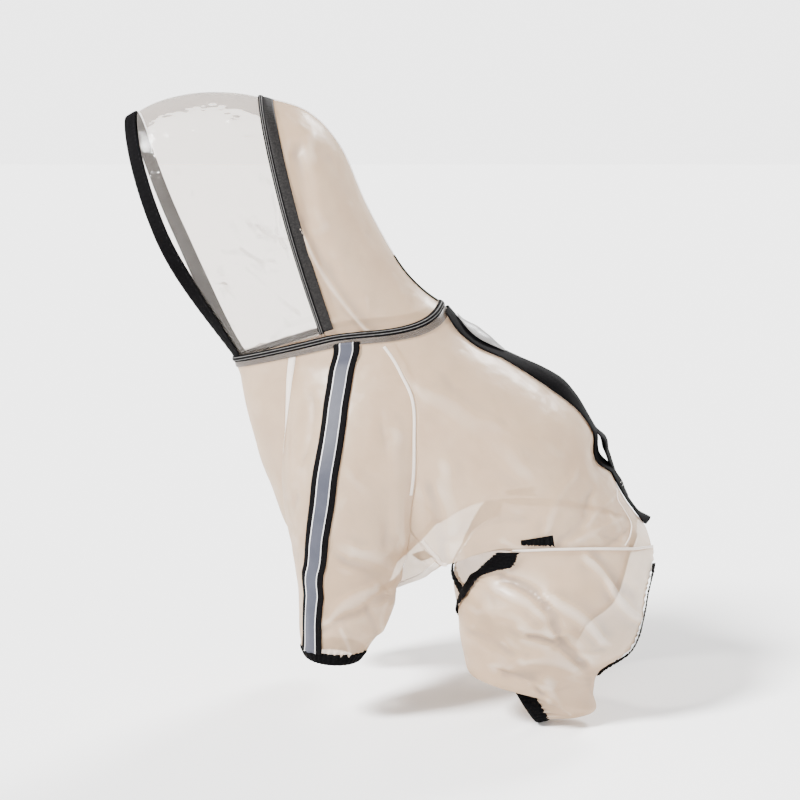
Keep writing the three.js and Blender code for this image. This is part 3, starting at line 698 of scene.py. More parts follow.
def leg_skin(side):
    def rise(points, place, turn):
        outer = outer_share(points, 52)
        folds = creased(points, LEG_FOLDS[side]) * outer
        folds += creased(points, LEG_FOLDS[OTHER[side]]) * (1 - outer) * 0.8
        phase = 1.1 if side == "left" else 2.6
        reach = LEG_REACH * (0.62 + 0.38 * np.sin(TURN * 3 * turn + phase))
        gather = pleats(turn, PLEATS_ROUND_LEG, phase) * smooth((place - 8 + reach) / reach)
        edge = np.minimum(turn, 1 - turn) + np.maximum(0, place - CROTCH) * 0.25
        ruffle = np.sin(TURN * (PLEATS_A_ROW * place + 0.3 * np.sin(5 * place)) + phase)
        ruffle = 0.9 * ruffle * smooth(1 - edge / ELASTIC_REACH) * smooth(place / 0.5)
        return folds * smooth(place / 0.5) + 0.9 * PLEAT * gather + ruffle

    return Skin(leg, 1, rise)


def hood_rise(folds, points, share, turn, first, last):
    rise = np.where(turn > 1, creased(points, folds["right"]), creased(points, folds["left"]))
    up = 1 - np.abs(1 - turn)
    top = 1 - smooth((up - 0.62) / 0.25)
    return rise * top * smooth((share - first) / 0.06) * smooth((last - share) / 0.06)


hood_skin = Skin(hood, -1, lambda p, a, b: hood_rise(HOOD_FOLDS, p, a, b, 0, 1))
visor_skin = Skin(hood, -1, lambda p, a, b: hood_rise(VISOR_FOLDS, p, a, b, 1, 2))


# Meshes: thin shells made from a grid of points, with a UV map in millimetres
def piece(name, cells, materials, nodes=(), slot="film", wall=0.4, out=1, loop=False, bands=(),
          inside=None, creases=None):
    rows, columns = cells.shape[:2]
    inner = cells - facing(cells, out, loop) * wall
    points = np.concatenate([cells.reshape(-1, 3), inner.reshape(-1, 3)]) * MM
    wide = columns if loop else columns - 1
    i, j = [k.ravel() for k in np.meshgrid(np.arange(rows - 1), np.arange(wide), indexing="ij")]
    k = (j + 1) % columns
    back = rows * columns
    face = np.stack([i * columns + j, (i + 1) * columns + j, (i + 1) * columns + k, i * columns + k], 1)
    quads = [face, back + face[:, ::-1]]
    ends = np.arange(wide)
    after = (ends + 1) % columns
    low = (rows - 1) * columns
    quads.append(np.stack([ends, after, back + after, back + ends], 1))
    quads.append(np.stack([low + after, low + ends, back + low + ends, back + low + after], 1))
    if not loop:
        start = np.arange(rows - 1) * columns
        under = start + columns
        tail = columns - 1
        quads.append(np.stack([under, start, back + start, back + under], 1))
        far = np.stack([start + tail, under + tail, back + under + tail, back + start + tail], 1)
        quads.append(far)
    quads = np.concatenate(quads)
    if out < 0:
        quads = quads[:, ::-1]
    mesh = bpy.data.meshes.new(name)
    mesh.vertices.add(len(points))
    mesh.vertices.foreach_set("co", points.ravel())
    mesh.loops.add(quads.size)
    mesh.loops.foreach_set("vertex_index", quads.ravel().astype(np.int32))
    mesh.polygons.add(len(quads))
    mesh.polygons.foreach_set("loop_start", np.arange(0, quads.size, 4, dtype=np.int32))
    mesh.polygons.foreach_set("use_smooth", np.ones(len(quads), bool))
    step_u = np.linalg.norm(np.diff(cells, axis=1), axis=-1)
    step_v = np.linalg.norm(np.diff(cells, axis=0), axis=-1)
    u = np.concatenate([np.zeros((rows, 1)), np.cumsum(step_u, 1)], 1)
    v = np.concatenate([np.zeros((1, columns)), np.cumsum(step_v, 0)], 0)
    uv = np.tile(np.stack([u, v], -1).reshape(-1, 2), (2, 1))
    layer = mesh.uv_layers.new(name="millimetres")
    layer.data.foreach_set("uv", uv[quads.ravel()].ravel())
    for each in materials if isinstance(materials, (list, tuple)) else [materials]:
        mesh.materials.append(each)
    index = np.zeros(len(quads), np.int32)
    if bands:
        index[: 2 * len(face)] = np.array(bands, np.int32)[np.tile(j, 2)]
    if inside:
        mesh.materials.append(inside)
        index[len(face): 2 * len(face)] = len(mesh.materials) - 1
    mesh.polygons.foreach_set("material_index", index)
    # Fold sharpness, by which the film materials paint highlights on ridges and shade in troughs.
    if creases is not None:
        kept = mesh.attributes.new("crease", "FLOAT", "POINT")
        kept.data.foreach_set("value", np.tile(creases.ravel(), 2).astype(np.float32))
    mesh.update(calc_edges=True)
    mesh.validate()
    made = bpy.data.objects.new(name, mesh)
    bpy.context.scene.collection.objects.link(made)
    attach(made, "root")
    if nodes:
        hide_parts(*nodes)
    return made


# Materials
def material(name):
    made = bpy.data.materials.new(name)
    made.use_nodes = True
    made.node_tree.nodes.clear()
    return made, made.node_tree


def add(tree, kind, inputs=None, **settings):
    """Adds a node; an input is a value, or the socket that it is linked from."""
    made = tree.nodes.new("ShaderNode" + kind)
    for key, value in settings.items():
        setattr(made, key, value)
    for key, value in (inputs or {}).items():
        if isinstance(value, bpy.types.NodeSocket):
            tree.links.new(value, made.inputs[key])
        else:
            made.inputs[key].default_value = value
    return made


def color(r, g, b):
    return (r, g, b, 1)


def shown(tree, shader):
    add(tree, "OutputMaterial", {"Surface": shader.outputs[0]})


def see_through(tree, tint, amount, shell):
    """Shows the shell by an amount from 0 to 1, and what lies behind it, tinted, by the rest."""
    clear = add(tree, "BsdfTransparent", {"Color": tint})
    shown(tree, add(tree, "MixShader", {0: amount, 1: clear.outputs[0], 2: shell.outputs[0]}))


# How sharp the film's fold is at each point; the materials paint highlights and shade by it.
def crease_of(tree):
    return add(tree, "Attribute", attribute_name="crease").outputs["Fac"]


def place(tree, kind="Object", scale=(1, 1, 1)):
    source = add(tree, "TexCoord").outputs[kind]
    return add(tree, "Mapping", {"Vector": source, "Scale": scale}).outputs[0]


def noise(tree, where, scale, detail=2.0, rough=0.5):
    inputs = {"Vector": where, "Scale": scale, "Detail": detail, "Roughness": rough}
    return add(tree, "TexNoise", inputs).outputs["Fac"]


def ranged(tree, value, low, high, start=0.3, end=0.7):
    inputs = {"Value": value, "From Min": start, "From Max": end, "To Min": low, "To Max": high}
    return add(tree, "MapRange", inputs).outputs[0]


def bumped(tree, height, strength, distance, normal=None):
    inputs = {"Height": height, "Strength": strength, "Distance": distance}
    if normal:
        inputs["Normal"] = normal
    return add(tree, "Bump", inputs).outputs[0]


# Painted highlight on the film's sharp ridges and painted shade in its sharp troughs.
RIDGE_PAINTED_HIGHLIGHT = color(0.9, 0.82, 0.75)
TROUGH_PAINTED_SHADE = color(0.24, 0.18, 0.14)


def milky(name, face, through, cover, crumple=1.0):
    """Milky film: a share of it covers what is behind; it is paler on ridges as a painted highlight and
    darker in troughs as painted shade.
    """
    made, tree = material(name)
    where = place(tree)
    soft = noise(tree, where, 30, 2.0, 0.45)
    fine = noise(tree, where, 120, 2.0, 0.55)
    crumpled = bumped(tree, soft, 0.3 * crumple, 0.01)
    crumpled = bumped(tree, fine, 0.2 * crumple, 0.0022, crumpled)
    tint = add(tree, "MixRGB", {"Fac": soft, "Color1": face, "Color2": through}).outputs[0]
    crease = crease_of(tree)
    # Painted highlight on ridges and painted shade in troughs, by how sharp the fold is there.
    ridge = ranged(tree, crease, 0, 0.42, 0.25, 1.2)
    trough = ranged(tree, crease, 0.75, 0, -1.0, -0.25)
    tint = add(tree, "MixRGB", {"Fac": ridge, "Color1": tint, "Color2": RIDGE_PAINTED_HIGHLIGHT}).outputs[0]
    tint = add(tree, "MixRGB", {"Fac": trough, "Color1": tint, "Color2": TROUGH_PAINTED_SHADE}).outputs[0]
    shell = add(tree, "BsdfPrincipled", {
        "Base Color": tint,
        "Roughness": ranged(tree, fine, 0.34, 0.46),
        "IOR": 1.5,
        "Coat Weight": 0.16,
        "Coat Roughness": 0.22,
        "Normal": crumpled,
    })
    glow = add(tree, "BsdfTranslucent", {"Color": through, "Normal": crumpled})
    lit = add(tree, "MixShader", {0: 0.24, 1: shell.outputs[0], 2: glow.outputs[0]})
    amount = ranged(tree, soft, cover - 0.05, cover + 0.05)
    see_through(tree, color(0.95, 0.905, 0.85), amount, lit)
    return made


def inner_face(name, tone, cover):
    """Inner face of a film: it adds a faint haze and a dull gloss to the outer face."""
    made, tree = material(name)
    shell = add(tree, "BsdfPrincipled", {
        "Base Color": tone,
        "Roughness": ranged(tree, noise(tree, place(tree), 60, 1.0), 0.3, 0.5),
        "IOR": 1.45,
    })
    see_through(tree, color(0.985, 0.975, 0.965), cover, shell)
    return made


def glassy(name):
    """Clear film of the visor: glossy and crinkled; where its folds are sharp more of its grey shell
    shows, a painted highlight standing in for the crinkles' shine.
    """
    made, tree = material(name)
    where = place(tree)
    soft = noise(tree, where, 22, 2.5, 0.5)
    sharp = noise(tree, place(tree, scale=(1, 1, 2.2)), 75, 1.0, 0.6)
    crinkled = bumped(tree, soft, 0.5, 0.014)
    crinkled = bumped(tree, sharp, 0.3, 0.004, crinkled)
    shell = add(tree, "BsdfPrincipled", {
        "Base Color": color(0.42, 0.38, 0.35),
        "Roughness": 0.08,
        "IOR": 1.5,
        "Coat Weight": 1.0,
        "Coat Roughness": 0.04,
        "Normal": crinkled,
    })
    shine = add(tree, "LayerWeight", {"Blend": 0.3, "Normal": crinkled}).outputs["Fresnel"]
    amount = ranged(tree, shine, 0.1, 0.8, 0.0, 1.0)
    # Painted crinkle highlight: more of the grey shell shows along sharp folds.
    depth = add(tree, "Math", {0: crease_of(tree)}, operation="ABSOLUTE").outputs[0]
    painted_crinkle_highlight = ranged(tree, depth, 0, 0.4, 0.45, 1.0)
    amount = add(tree, "Math", {0: amount, 1: painted_crinkle_highlight}, operation="ADD", use_clamp=True).outputs[0]
    see_through(tree, color(0.965, 0.945, 0.925), amount, shell)
    return made


def woven(name, dark, light, rib=1.1, rough=0.72, sheen=0.0, gloss=0.06, depth=0.3):
    """Woven tape: fine ribs across it, crossed by its threads, with a little lint."""
    made, tree = material(name)
    where = add(tree, "TexCoord").outputs["UV"]
    ribs = add(tree, "TexWave", {"Vector": where, "Scale": 0.314 / rib}, bands_direction="Y")
    threads = add(tree, "TexWave", {"Vector": where, "Scale": 0.314 / 0.7}, bands_direction="X")
    lint = noise(tree, place(tree), 900, 3.0, 0.7)
    shade = add(tree, "MixRGB", {
        "Fac": ranged(tree, lint, 0.0, 1.0, 0.42, 0.72),
        "Color1": dark,
        "Color2": light,
    }).outputs[0]
    raised_by = bumped(tree, ribs.outputs["Fac"], depth, 0.0003)
    raised_by = bumped(tree, threads.outputs["Fac"], 0.5 * depth, 0.00015, raised_by)
    shell = add(tree, "BsdfPrincipled", {
        "Base Color": shade,
        "Roughness": rough,
        "Specular IOR Level": gloss,
        "Sheen Weight": sheen,
        "Sheen Roughness": 0.5,
        "Normal": raised_by,
    })
    shown(tree, shell)
    return made


def reflective(name):
    """Grey reflective tape: fine beads, satin."""
    made, tree = material(name)
    where = place(tree)
    beads = add(tree, "TexVoronoi", {"Vector": where, "Scale": 2200.0})
    shade = add(tree, "MixRGB", {
        "Fac": noise(tree, where, 70, 3.0, 0.6),
        "Color1": color(0.032, 0.034, 0.047),
        "Color2": color(0.054, 0.056, 0.073),
    }).outputs[0]
    shell = add(tree, "BsdfPrincipled", {
        "Base Color": shade,
        "Roughness": 0.45,
        "Specular IOR Level": 0.15,
        "Normal": bumped(tree, beads.outputs["Distance"], 0.3, 0.0002),
    })
    shown(tree, shell)
    return made


FILM = milky("milky_film", color(0.4, 0.275, 0.17), color(0.5, 0.36, 0.235), 0.74)
FILM_BACK = inner_face("milky_film_inside", color(0.6, 0.44, 0.33), 0.16)
HEM_FILM = milky("doubled_film", color(0.74, 0.62, 0.53), color(0.82, 0.72, 0.64), 0.8, 0.6)
# Pale film on seams and hems: paler than the doubled film, partly from the doubling and partly a painted
# highlight along the seam.
PALE_SEAM_FILM_AND_HIGHLIGHT = milky("pale_seam_film", color(0.78, 0.69, 0.61), color(0.84, 0.76, 0.69), 0.84, 0.5)
FLAP_FILM = milky("flap_film", color(0.18, 0.172, 0.165), color(0.27, 0.26, 0.25), 0.92, 0.6)
SEAM_FILM = woven("dark_seam_film", color(0.006, 0.0055, 0.0055), color(0.022, 0.02, 0.019),
                  rib=2.4, rough=0.6, gloss=0.12)
NECK_FILM = milky("grey_seam_film", color(0.04, 0.036, 0.034), color(0.15, 0.135, 0.125), 0.6, 0.7)
CLEAR = glassy("clear_film")
CLEAR_BACK = inner_face("clear_film_inside", color(0.7, 0.66, 0.62), 0.03)
TAPE = woven("black_tape", color(0.0012, 0.0011, 0.0013), color(0.004, 0.0036, 0.0042), gloss=0.035)
ELASTIC = woven("black_elastic", color(0.001, 0.001, 0.0012), color(0.004, 0.0037, 0.004),
                rib=1.5, rough=0.85, gloss=0.03)
LOOPS = woven("hook_and_loop", color(0.002, 0.002, 0.0024), color(0.007, 0.006, 0.007), 2.0, 0.95, 0.03)
REFLECTIVE = reflective("reflective_tape")
PALE_EDGE = woven("pale_edge", color(0.62, 0.61, 0.62), color(0.78, 0.77, 0.78), 0.8, 0.5, 0.1, 0.4)
PIPE_EDGE = woven("piping_edge", color(0.08, 0.077, 0.075), color(0.15, 0.145, 0.14), 0.8, 0.6, 0, 0.15)
PALE_THREAD = woven("pale_thread", color(0.62, 0.58, 0.54), color(0.78, 0.74, 0.7), 0.6, 0.6, 0.1, 0.4)
DARK_THREAD = woven("dark_thread", color(0.012, 0.011, 0.012), color(0.03, 0.027, 0.03), 0.6, 0.6)


# Film panels
side_films = {side: side_skin(side) for side in OTHER}
sleeve_films = {side: sleeve_skin(side) for side in OTHER}
leg_films = {side: leg_skin(side) for side in OTHER}
chest_film = chest_skin()
belly_film = belly_skin()
def panel(name, skin, a, b, node, side="left", out=1, film=FILM, slot="film", inside=FILM_BACK):
    """A film panel over a range of its skin, on its own side of the coat."""
    cells = sided(side, skin.grid(a, b))
    piece(name, cells, film, [node], slot, out=out, inside=inside, creases=skin.creases(a, b))


# Rows down and columns across each panel's mesh
GRID = {
    "side": (180, 95),
    "sleeve": (120, 170),
    "leg": (120, 180),
    "hood": (130, 111),
    "chest": (80, 50),
    "belly": (20, 90),
    "visor": (90, 210),
}
BINDING_BACK = 0.105


def spread(kind, first, last):
    """Places down a panel and shares across it, as many as its mesh has."""
    rows, columns = GRID[kind]
    return np.linspace(first, last, rows), np.linspace(0, 1, columns)


for side in OTHER:
    out = 1 if side == "left" else -1
    panel(f"side_film_{side}", side_films[side], *spread("side", 0, len(SIDE.rows) - 1),
          f"side_panel_{side}", side, -out)
    panel(f"sleeve_film_{side}", sleeve_films[side], *spread("sleeve", 0.004, 1.004),
          f"sleeve_{side}", side, out)
    panel(f"leg_film_{side}", leg_films[side], *spread("leg", 0, 8.1), f"rear_leg_{side}", side, out)
    shares, columns = np.linspace(0, 0.995, GRID["hood"][0]), GRID["hood"][1]
    turns = arch(2 * columns - 1)[:columns]
    panel(f"hood_film_{side}", hood_skin, shares, turns if side == "left" else 2 - turns,
          f"hood_back_{side}", out=-out)
panel("chest_film", chest_film, *spread("chest", 0, ARMPIT), "chest_panel", out=-1)
panel("belly_film", belly_film, *spread("belly", 0, 1), "belly_band", out=-1)
shares = np.linspace(1.005, 2 - BINDING_BACK, GRID["visor"][0])
panel("visor_film", visor_skin, shares, arch(GRID["visor"][1]), "visor", out=-1,
      film=CLEAR, slot="clear_film", inside=CLEAR_BACK)


# Tapes and bands that lie on the film
def laid(name, film_cells, materials, nodes=(), slot="black_fabric", side="left", wall=0.5, **more):
    out = 1 if side == "left" else -1
    return piece(name, sided(side, film_cells), materials, nodes, slot, wall, out, **more)


def ruffled(places, count, height, phase=0.0):
    """Uneven ruffle along an elastic edge."""
    wave = np.sin(TURN * count * places + 1.3 * np.sin(TURN * 0.31 * count * places + phase))
    return height * wave * (0.7 + 0.3 * np.sin(TURN * 0.17 * count * places + phase))


STRIPE = Table("share turn", [
    (0.0, 0.655),
    (0.017, 0.636),
    (0.09, 0.54),
    (0.153, 0.502),
    (0.201, 0.491),
    (0.25, 0.513),
    (0.3, 0.537),
    (0.352, 0.555),
    (0.407, 0.564),
    (0.461, 0.559),
    (0.516, 0.541),
    (0.573, 0.52),
    (0.63, 0.497),
    (0.691, 0.459),
    (0.75, 0.448),
    (0.819, 0.444),
    (0.917, 0.448),
    (1.0, 0.446),
])
STRIPE_HALF = 10.5
REFLECTOR_HALF = 5.6
REFLECTOR_EDGE = 0.75


def stripe_cells(film, offsets, lift):
    """Cells along the stripe's middle line, at distances across it and over the film."""
    share = np.linspace(0.01, 0.992, 150)
    turn = STRIPE.when("share", share).turn
    across = film(share, turn + 0.02) - film(share, turn - 0.02)
    a_turn = 0.04 / np.linalg.norm(across, axis=-1)
    smoother = Skin(sleeve, 1, lambda p, a, b: film.rise(p, a, b) * 0.75)
    a, b = share[:, None], turn[:, None] + np.array(offsets)[None, :] * a_turn[:, None]
    over = lift + 1.0 * (1 - smooth((share - 0.05) / 0.04)) + 0.5 * smooth((share - 0.86) / 0.1)
    return smoother(a, b) + smoother.normal(a, b) * over[:, None, None]


for side in OTHER:
    film = sleeve_films[side]
    cells = stripe_cells(film, np.linspace(-STRIPE_HALF, STRIPE_HALF, 13), 1.3)
    laid(f"stripe_{side}", cells, TAPE, [f"sleeve_stripe_{side}"], side=side, wall=0.6)
    inner = np.linspace(-REFLECTOR_HALF + REFLECTOR_EDGE, REFLECTOR_HALF - REFLECTOR_EDGE, 7)
    offsets = [-REFLECTOR_HALF, *inner, REFLECTOR_HALF]
    cells = stripe_cells(film, offsets, 1.75)
    laid(f"reflective_tape_{side}", cells, [REFLECTIVE, PALE_EDGE], [f"reflector_{side}"],
         "reflective", side, 0.3, bands=[1, 0, 0, 0, 0, 0, 0, 1])


BAND_LIFT = 0.35


def seam_band(name, film, a, b, side, half, band_film):
    """Doubled film along a seam, with its row of stitches."""
    cells = film.strip(a, b, -half, half, BAND_LIFT, 5)
    laid(name, cells, band_film, slot="film", side=side, wall=0.3)
    stitched = film.strip(a, b, half * 0.4, half * 0.4, BAND_LIFT + 0.1, 2)[:, 0]
    stitches(f"{name}_stitches", stitched, side)


def stitches(name, line, side="left", thread=None, length=2.3, gap=1.1, thick=0.22):
    """A row of short threads along a line, lying half sunk in the cloth."""
    steps = np.linalg.norm(np.diff(line, axis=0), axis=1)
    walked = np.concatenate([[0], np.cumsum(steps)])
    starts = np.arange(gap, walked[-1] - length, length + gap)
    spots = [np.stack([np.interp(starts + length * t, walked, line[:, k]) for k in range(3)], -1)
             for t in (0, 0.5, 1)]
    spots = np.stack(spots, 1)
    along = unit(spots[:, 2] - spots[:, 0])
    up = unit(np.cross(along, np.array([0.31, 0.22, 0.9])))
    over = np.cross(along, up)
    points, faces = [], []
    for i in range(len(spots)):
        first = len(points)
        for t, wide in enumerate((0.4, 1.0, 0.4)):
            for turn in range(4):
                way = up[i] * math.cos(turn * math.pi / 2) + over[i] * math.sin(turn * math.pi / 2)
                points.append((spots[i, t] + way * thick * wide) * MM)
        for ring in (0, 4):
            for turn in range(4):
                here, after = first + ring + turn, first + ring + (turn + 1) % 4
                faces.append((here, after, after + 4, here + 4))
        faces.append((first + 3, first + 2, first + 1, first))
        faces.append((first + 8, first + 9, first + 10, first + 11))
    mesh = bpy.data.meshes.new(name)
    mesh.from_pydata([tuple(p) for p in sided(side, np.array(points))], [], faces)
    mesh.materials.append(thread or PALE_THREAD)
    made = bpy.data.objects.new(name, mesh)
    bpy.context.scene.collection.objects.link(made)
    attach(made, "root")
    return made


RUMP_SEAM = Table("station angle", [
    (6.2, 15),
    (6.45, 21.6),
    (6.91, 22.1),
    (7.47, 25.8),
    (7.67, 37.1),
    (7.69, 47),
])


def rump_seam_cells():
    row = RUMP_SEAM.at(np.linspace(0, len(RUMP_SEAM.rows) - 1, 50))
    line, normal = body(row.station, row.angle), body_normal(row.station, row.angle)
    return flat_strip(line, normal, -0.6, 0.6, 1.3, 3)


# The raglan bands, rump seam and leg top hem are pale seam film, with a painted highlight along each.
for side in OTHER:
    sleeve_film, side_film, leg_film = sleeve_films[side], side_films[side], leg_films[side]
    for name, film, first, last, steps, across, half, band_film in (
        ("front_raglan", sleeve_film, 0.012, 0.66, 110, 0.022, 3.1, PALE_SEAM_FILM_AND_HIGHLIGHT),
        ("rear_raglan", sleeve_film, 0.03, 0.43, 70, 0.985, 1.2, PALE_SEAM_FILM_AND_HIGHLIGHT),
        ("side_seam", side_film, 8.2, 11.1, 40, 0.985, 1.5, HEM_FILM),
    ):
        down = np.linspace(first, last, steps)
        seam_band(f"{name}_{side}", film, down, np.full(steps, across), side, half, band_film)
    cells = rump_seam_cells()
    laid(f"rump_seam_{side}", cells, PALE_SEAM_FILM_AND_HIGHLIGHT, slot="film", side=side, wall=0.3)
    turns = np.linspace(0.01, 0.99, 150)
    cells = leg_film.strip(np.full(150, 0.06), turns, -0.4, 1.8, 0.3, 3)
    laid(f"leg_top_hem_{side}", cells, PALE_SEAM_FILM_AND_HIGHLIGHT, slot="film", side=side, wall=0.35)

# The belly hem is pale seam film, with a painted highlight along it.
hem_turns = np.linspace(0.005, 0.995, 160)
cells = belly_film.strip(np.full(160, 0.93), hem_turns, -3.6, 1.2, 0.35, 5)
piece("belly_hem", cells, PALE_SEAM_FILM_AND_HIGHLIGHT, slot="film", wall=0.35)
stitches("belly_hem_stitches", belly_film.strip(np.full(160, 0.93), hem_turns, -3, -3, 0.45, 2)[:, 0])


# Elastic: ribbed cuffs and the ruffled edges of the rear legs
CUFF_RIBS = 34
CUFF_OVER = Table("share over", [
    (0, 0.3),
    (0.12, 1.2),
    (0.3, 1.45),
    (0.5, 1.3),
    (0.7, 1.45),
    (0.88, 1.2),
    (1, 0.2),
])


def cuff_cells(ring, centre, first, last, phase):
    """Ribbed tube of elastic from one section to another, standing out over the film's end."""
    share = np.linspace(0, 1, 12)[:, None]
    angle = np.linspace(0, 360, 240, endpoint=False)[None, :]
    plain = ring(mix(first, last, share), angle)
    away = unit(plain - centre(mix(first, last, share)))
    turn = angle / 360 + 0.006 * np.sin(TURN * 5 * angle / 360 + phase)
    rib = 0.42 * np.sin(TURN * CUFF_RIBS * turn) * (0.8 + 0.2 * np.sin(TURN * 7 * turn + phase))
    over = CUFF_OVER.when("share", share).over
    return plain + away * (over + rib)[..., None]


def sleeve_cuff_ring(share, angle):
    return sleeve_ring(SLEEVE.when("share", share), angle)


def sleeve_centre(share):
    row = SLEEVE.when("share", share)
    return point((row.front + row.rear) / 2, row.y, row.z + row.drop / 2)


def leg_cuff_ring(place, angle):
    return leg_ring(LEG.at(place), angle)


def leg_centre(place):
    row = LEG.at(place)
    return point((row.front_x + row.rear_x) / 2, row.y, (row.front_z + row.rear_z) / 2)


LEG_ELASTIC = Table("edge edge_angle inside inside_angle", [
    (0.05, 41.5, 0.05, 53.5),
    (0.45, 33, 0.62, 51),
    (1, 19, 0.85, 38),
    (1.35, 5, 1.3, 21),
    (1.85, -3, 1.9, 15),
    (2.4, -10, 2.4, 4),
    (3, -33, 3.05, -20),
    (3.5, -50, 3.6, -36),
    (3.95, -64, 4.25, -52),
    (4.3, -82, 4.75, -76),
    (4.38, -92, 4.85, -92),
    (4.3, -118, 4.72, -126),
    (4.12, -148, 4.52, -158),
    (3.95, -170, 4.2, -181),
    (3.5, -182, 3.6, -193),
    (3, -185, 3, -196),
    (2.5, -183, 2.5, -195),
    (2, -180.5, 2, -192),
    (1.5, -180, 1.5, -191),
    (1, -182, 1, -193),
    (0.5, -186, 0.5, -197),
])
UNDER_LEG = 10
ELASTIC_LIFT = 2.6


def leg_elastic_cells(phase):
    along = np.linspace(0, len(LEG_ELASTIC.rows) - 1, 330)[:, None]
    share = np.linspace(0, 1, 9)[None, :]
    low = 0.06 * np.maximum(ruffled(along, 5.2, 1, phase), -0.4)
    high = 1 + 0.07 * np.maximum(ruffled(along, 5.2, 1, phase + 2), -0.4)
    share = low + (high - low) * share
    row = LEG_ELASTIC.at(along)
    section = mix(row.edge, row.inside, share)
    angle = mix(row.edge_angle, row.inside_angle, share) + np.where(along > UNDER_LEG, 360, 0)
    down = leg_at(section + 0.05, angle) - leg_at(section - 0.05, angle)
    around = leg_at(section, angle + 2) - leg_at(section, angle - 2)
    wave = ruffled(along, 5.2, 0.6, phase) * (0.4 + 1.2 * (share - 0.5) ** 2)
    return leg_at(section, angle) + unit(np.cross(down, around)) * (ELASTIC_LIFT + wave)[..., None]


for side in OTHER:
    phase = 0.3 if side == "left" else 1.7
    cells = cuff_cells(sleeve_cuff_ring, sleeve_centre, 0.983, 1.086, phase)
    laid(f"sleeve_cuff_band_{side}", cells, ELASTIC, [f"sleeve_cuff_{side}"], side=side,
         wall=0.8, loop=True)
    cells = cuff_cells(leg_cuff_ring, leg_centre, 8.0, 9.14, phase)
    laid(f"leg_cuff_band_{side}", cells, ELASTIC, [f"leg_cuff_{side}"], side=side,
         wall=0.8, loop=True)
    cells = leg_elastic_cells(phase)
    laid(f"leg_edge_elastic_{side}", cells, ELASTIC, [f"leg_elastic_{side}"], side=side, wall=0.7)
    t = np.linspace(0, 1, 90)
    line, normal = body(5.99 - 0.3 * t, 70 + 11 * t), body_normal(5.99 - 0.3 * t, 70 + 11 * t)
    ragged = 0.5 * ruffled(t, 9, 1.0, phase) + 0.6 * ruffled(t, 23, 1.0, phase)
    cells = flat_strip(line, normal, -4.2, 4.4 - 4.6 * t + ragged, 2.7 + 0.4 * ruffled(t, 7, 1), 5)
    laid(f"hem_elastic_{side}", cells, ELASTIC, side=side, wall=0.5)


# Hood: binding round the face, tapes on its seams
def hood_normal(share, turn):
    return hood_skin.normal(share, turn)


def hood_strip(share, turns, low, high, lifts):
    """Cells of a strip along an arch, between two distances behind it; one lift for each column."""
    here = hood(share, turns)
    normal = hood_normal(np.full(len(turns), share), turns)
    along = unit(np.gradient(here, axis=0))
    behind = unit(hood(share - 0.02, turns) - here)
    across = np.cross(normal, along)
    across *= np.sign((across * behind).sum(-1, keepdims=True))
    offsets = np.linspace(low, high, len(lifts))
    cells = here[:, None] + across[:, None] * offsets[None, :, None]
    return cells + normal[:, None] * np.array(lifts)[None, :, None]


PIPED = [1.1, 1.6, 1.8, 1.9, 2.0, 1.9, 1.8, 1.6, 1.1]
PIPED_BANDS = [0, 0, 1, 0, 0, 1, 0, 0]
turns = arch(260, 0.008)
cells = hood_strip(1, turns, -2.1, 2.1, PIPED)
piece("visor_seam_piping", cells, [TAPE, PIPE_EDGE], ["visor_seam_tape"], "black_fabric", 0.6, -1,
      bands=PIPED_BANDS)
cells = hood_strip(1, arch(260, 0.012), 1.6, 10.4, [1.0, 1.25, 1.4, 1.3, 1.15, 1.0, 0.9])
piece("visor_seam_band", cells, SEAM_FILM, ["visor_seam_allowance"], "seam_film", 0.3, -1)

BINDING = 10.0
BINDING_PROFILE = Table("mm over", [
    (BINDING, 0.9),
    (BINDING - 1, 1.3),
    (5, 1.45),
    (1.4, 1.3),
    (0.2, 0.8),
    (-0.2, 0),
    (0.2, -0.8),
    (1.4, -1.3),
    (5, -1.45),
    (BINDING - 1, -1.3),
    (BINDING, -0.9),
])
turns = arch(300)
step = np.linalg.norm(hood(2, turns) - hood(1.95, turns), axis=-1) / 0.05
profile = BINDING_PROFILE.at(np.linspace(0, len(BINDING_PROFILE.rows) - 1, 31))
shares = 2 - profile.mm[None, :] / step[:, None]
pucker = 0.16 * np.sin(np.arange(300) * 1.9)[:, None] * np.sign(profile.over)[None, :]
cells = hood(shares, turns[:, None])
cells = cells + hood_normal(shares, turns[:, None]) * (profile.over[None, :] + pucker)[..., None]
piece("face_binding_tape", cells, TAPE, ["face_binding"], "black_fabric", 0.4, -1)
for over, where in ((1.65, "outside"), (-1.65, "inside")):
    shares = 2 - (BINDING - 1.6) / step
    line = hood(shares, turns) + hood_normal(shares, turns) * over
    stitches(f"binding_stitches_{where}", line, thread=DARK_THREAD)

spine = np.linspace(0.22, 0.98, 120)
line, normal = hood(spine, 1.0), hood_normal(spine, np.ones(120))
cells = flat_strip(line, normal, -2.6, 2.6, 0.4, 5)
piece("hood_middle_band", cells, HEM_FILM, slot="film", wall=0.3, out=-1)
for mm in (-1.7, 1.7):
    row = flat_strip(line, normal, mm, mm, 0.55, 2)[:, 0]
    stitches(f"hood_middle_stitches_{'left' if mm < 0 else 'right'}", row)
spine, across = np.meshgrid(np.linspace(0.035, 0.3, 60), np.linspace(0.925, 1.075, 11), indexing="ij")
cells = hood(spine, across) + hood_normal(spine, across) * 0.9
piece("hood_middle_cover", cells, TAPE, ["hood_middle_tape"], "black_fabric", 0.6, -1)


# Neck seam: piping, and the grey seam band under it
def neck_cells(stations, lifts):
    angle = np.linspace(180, 540, 361)[:, None]
    station = np.linspace(*stations, len(lifts))[None, :]
    return body(station, angle) + body_normal(station, angle) * np.array(lifts)[None, :, None]


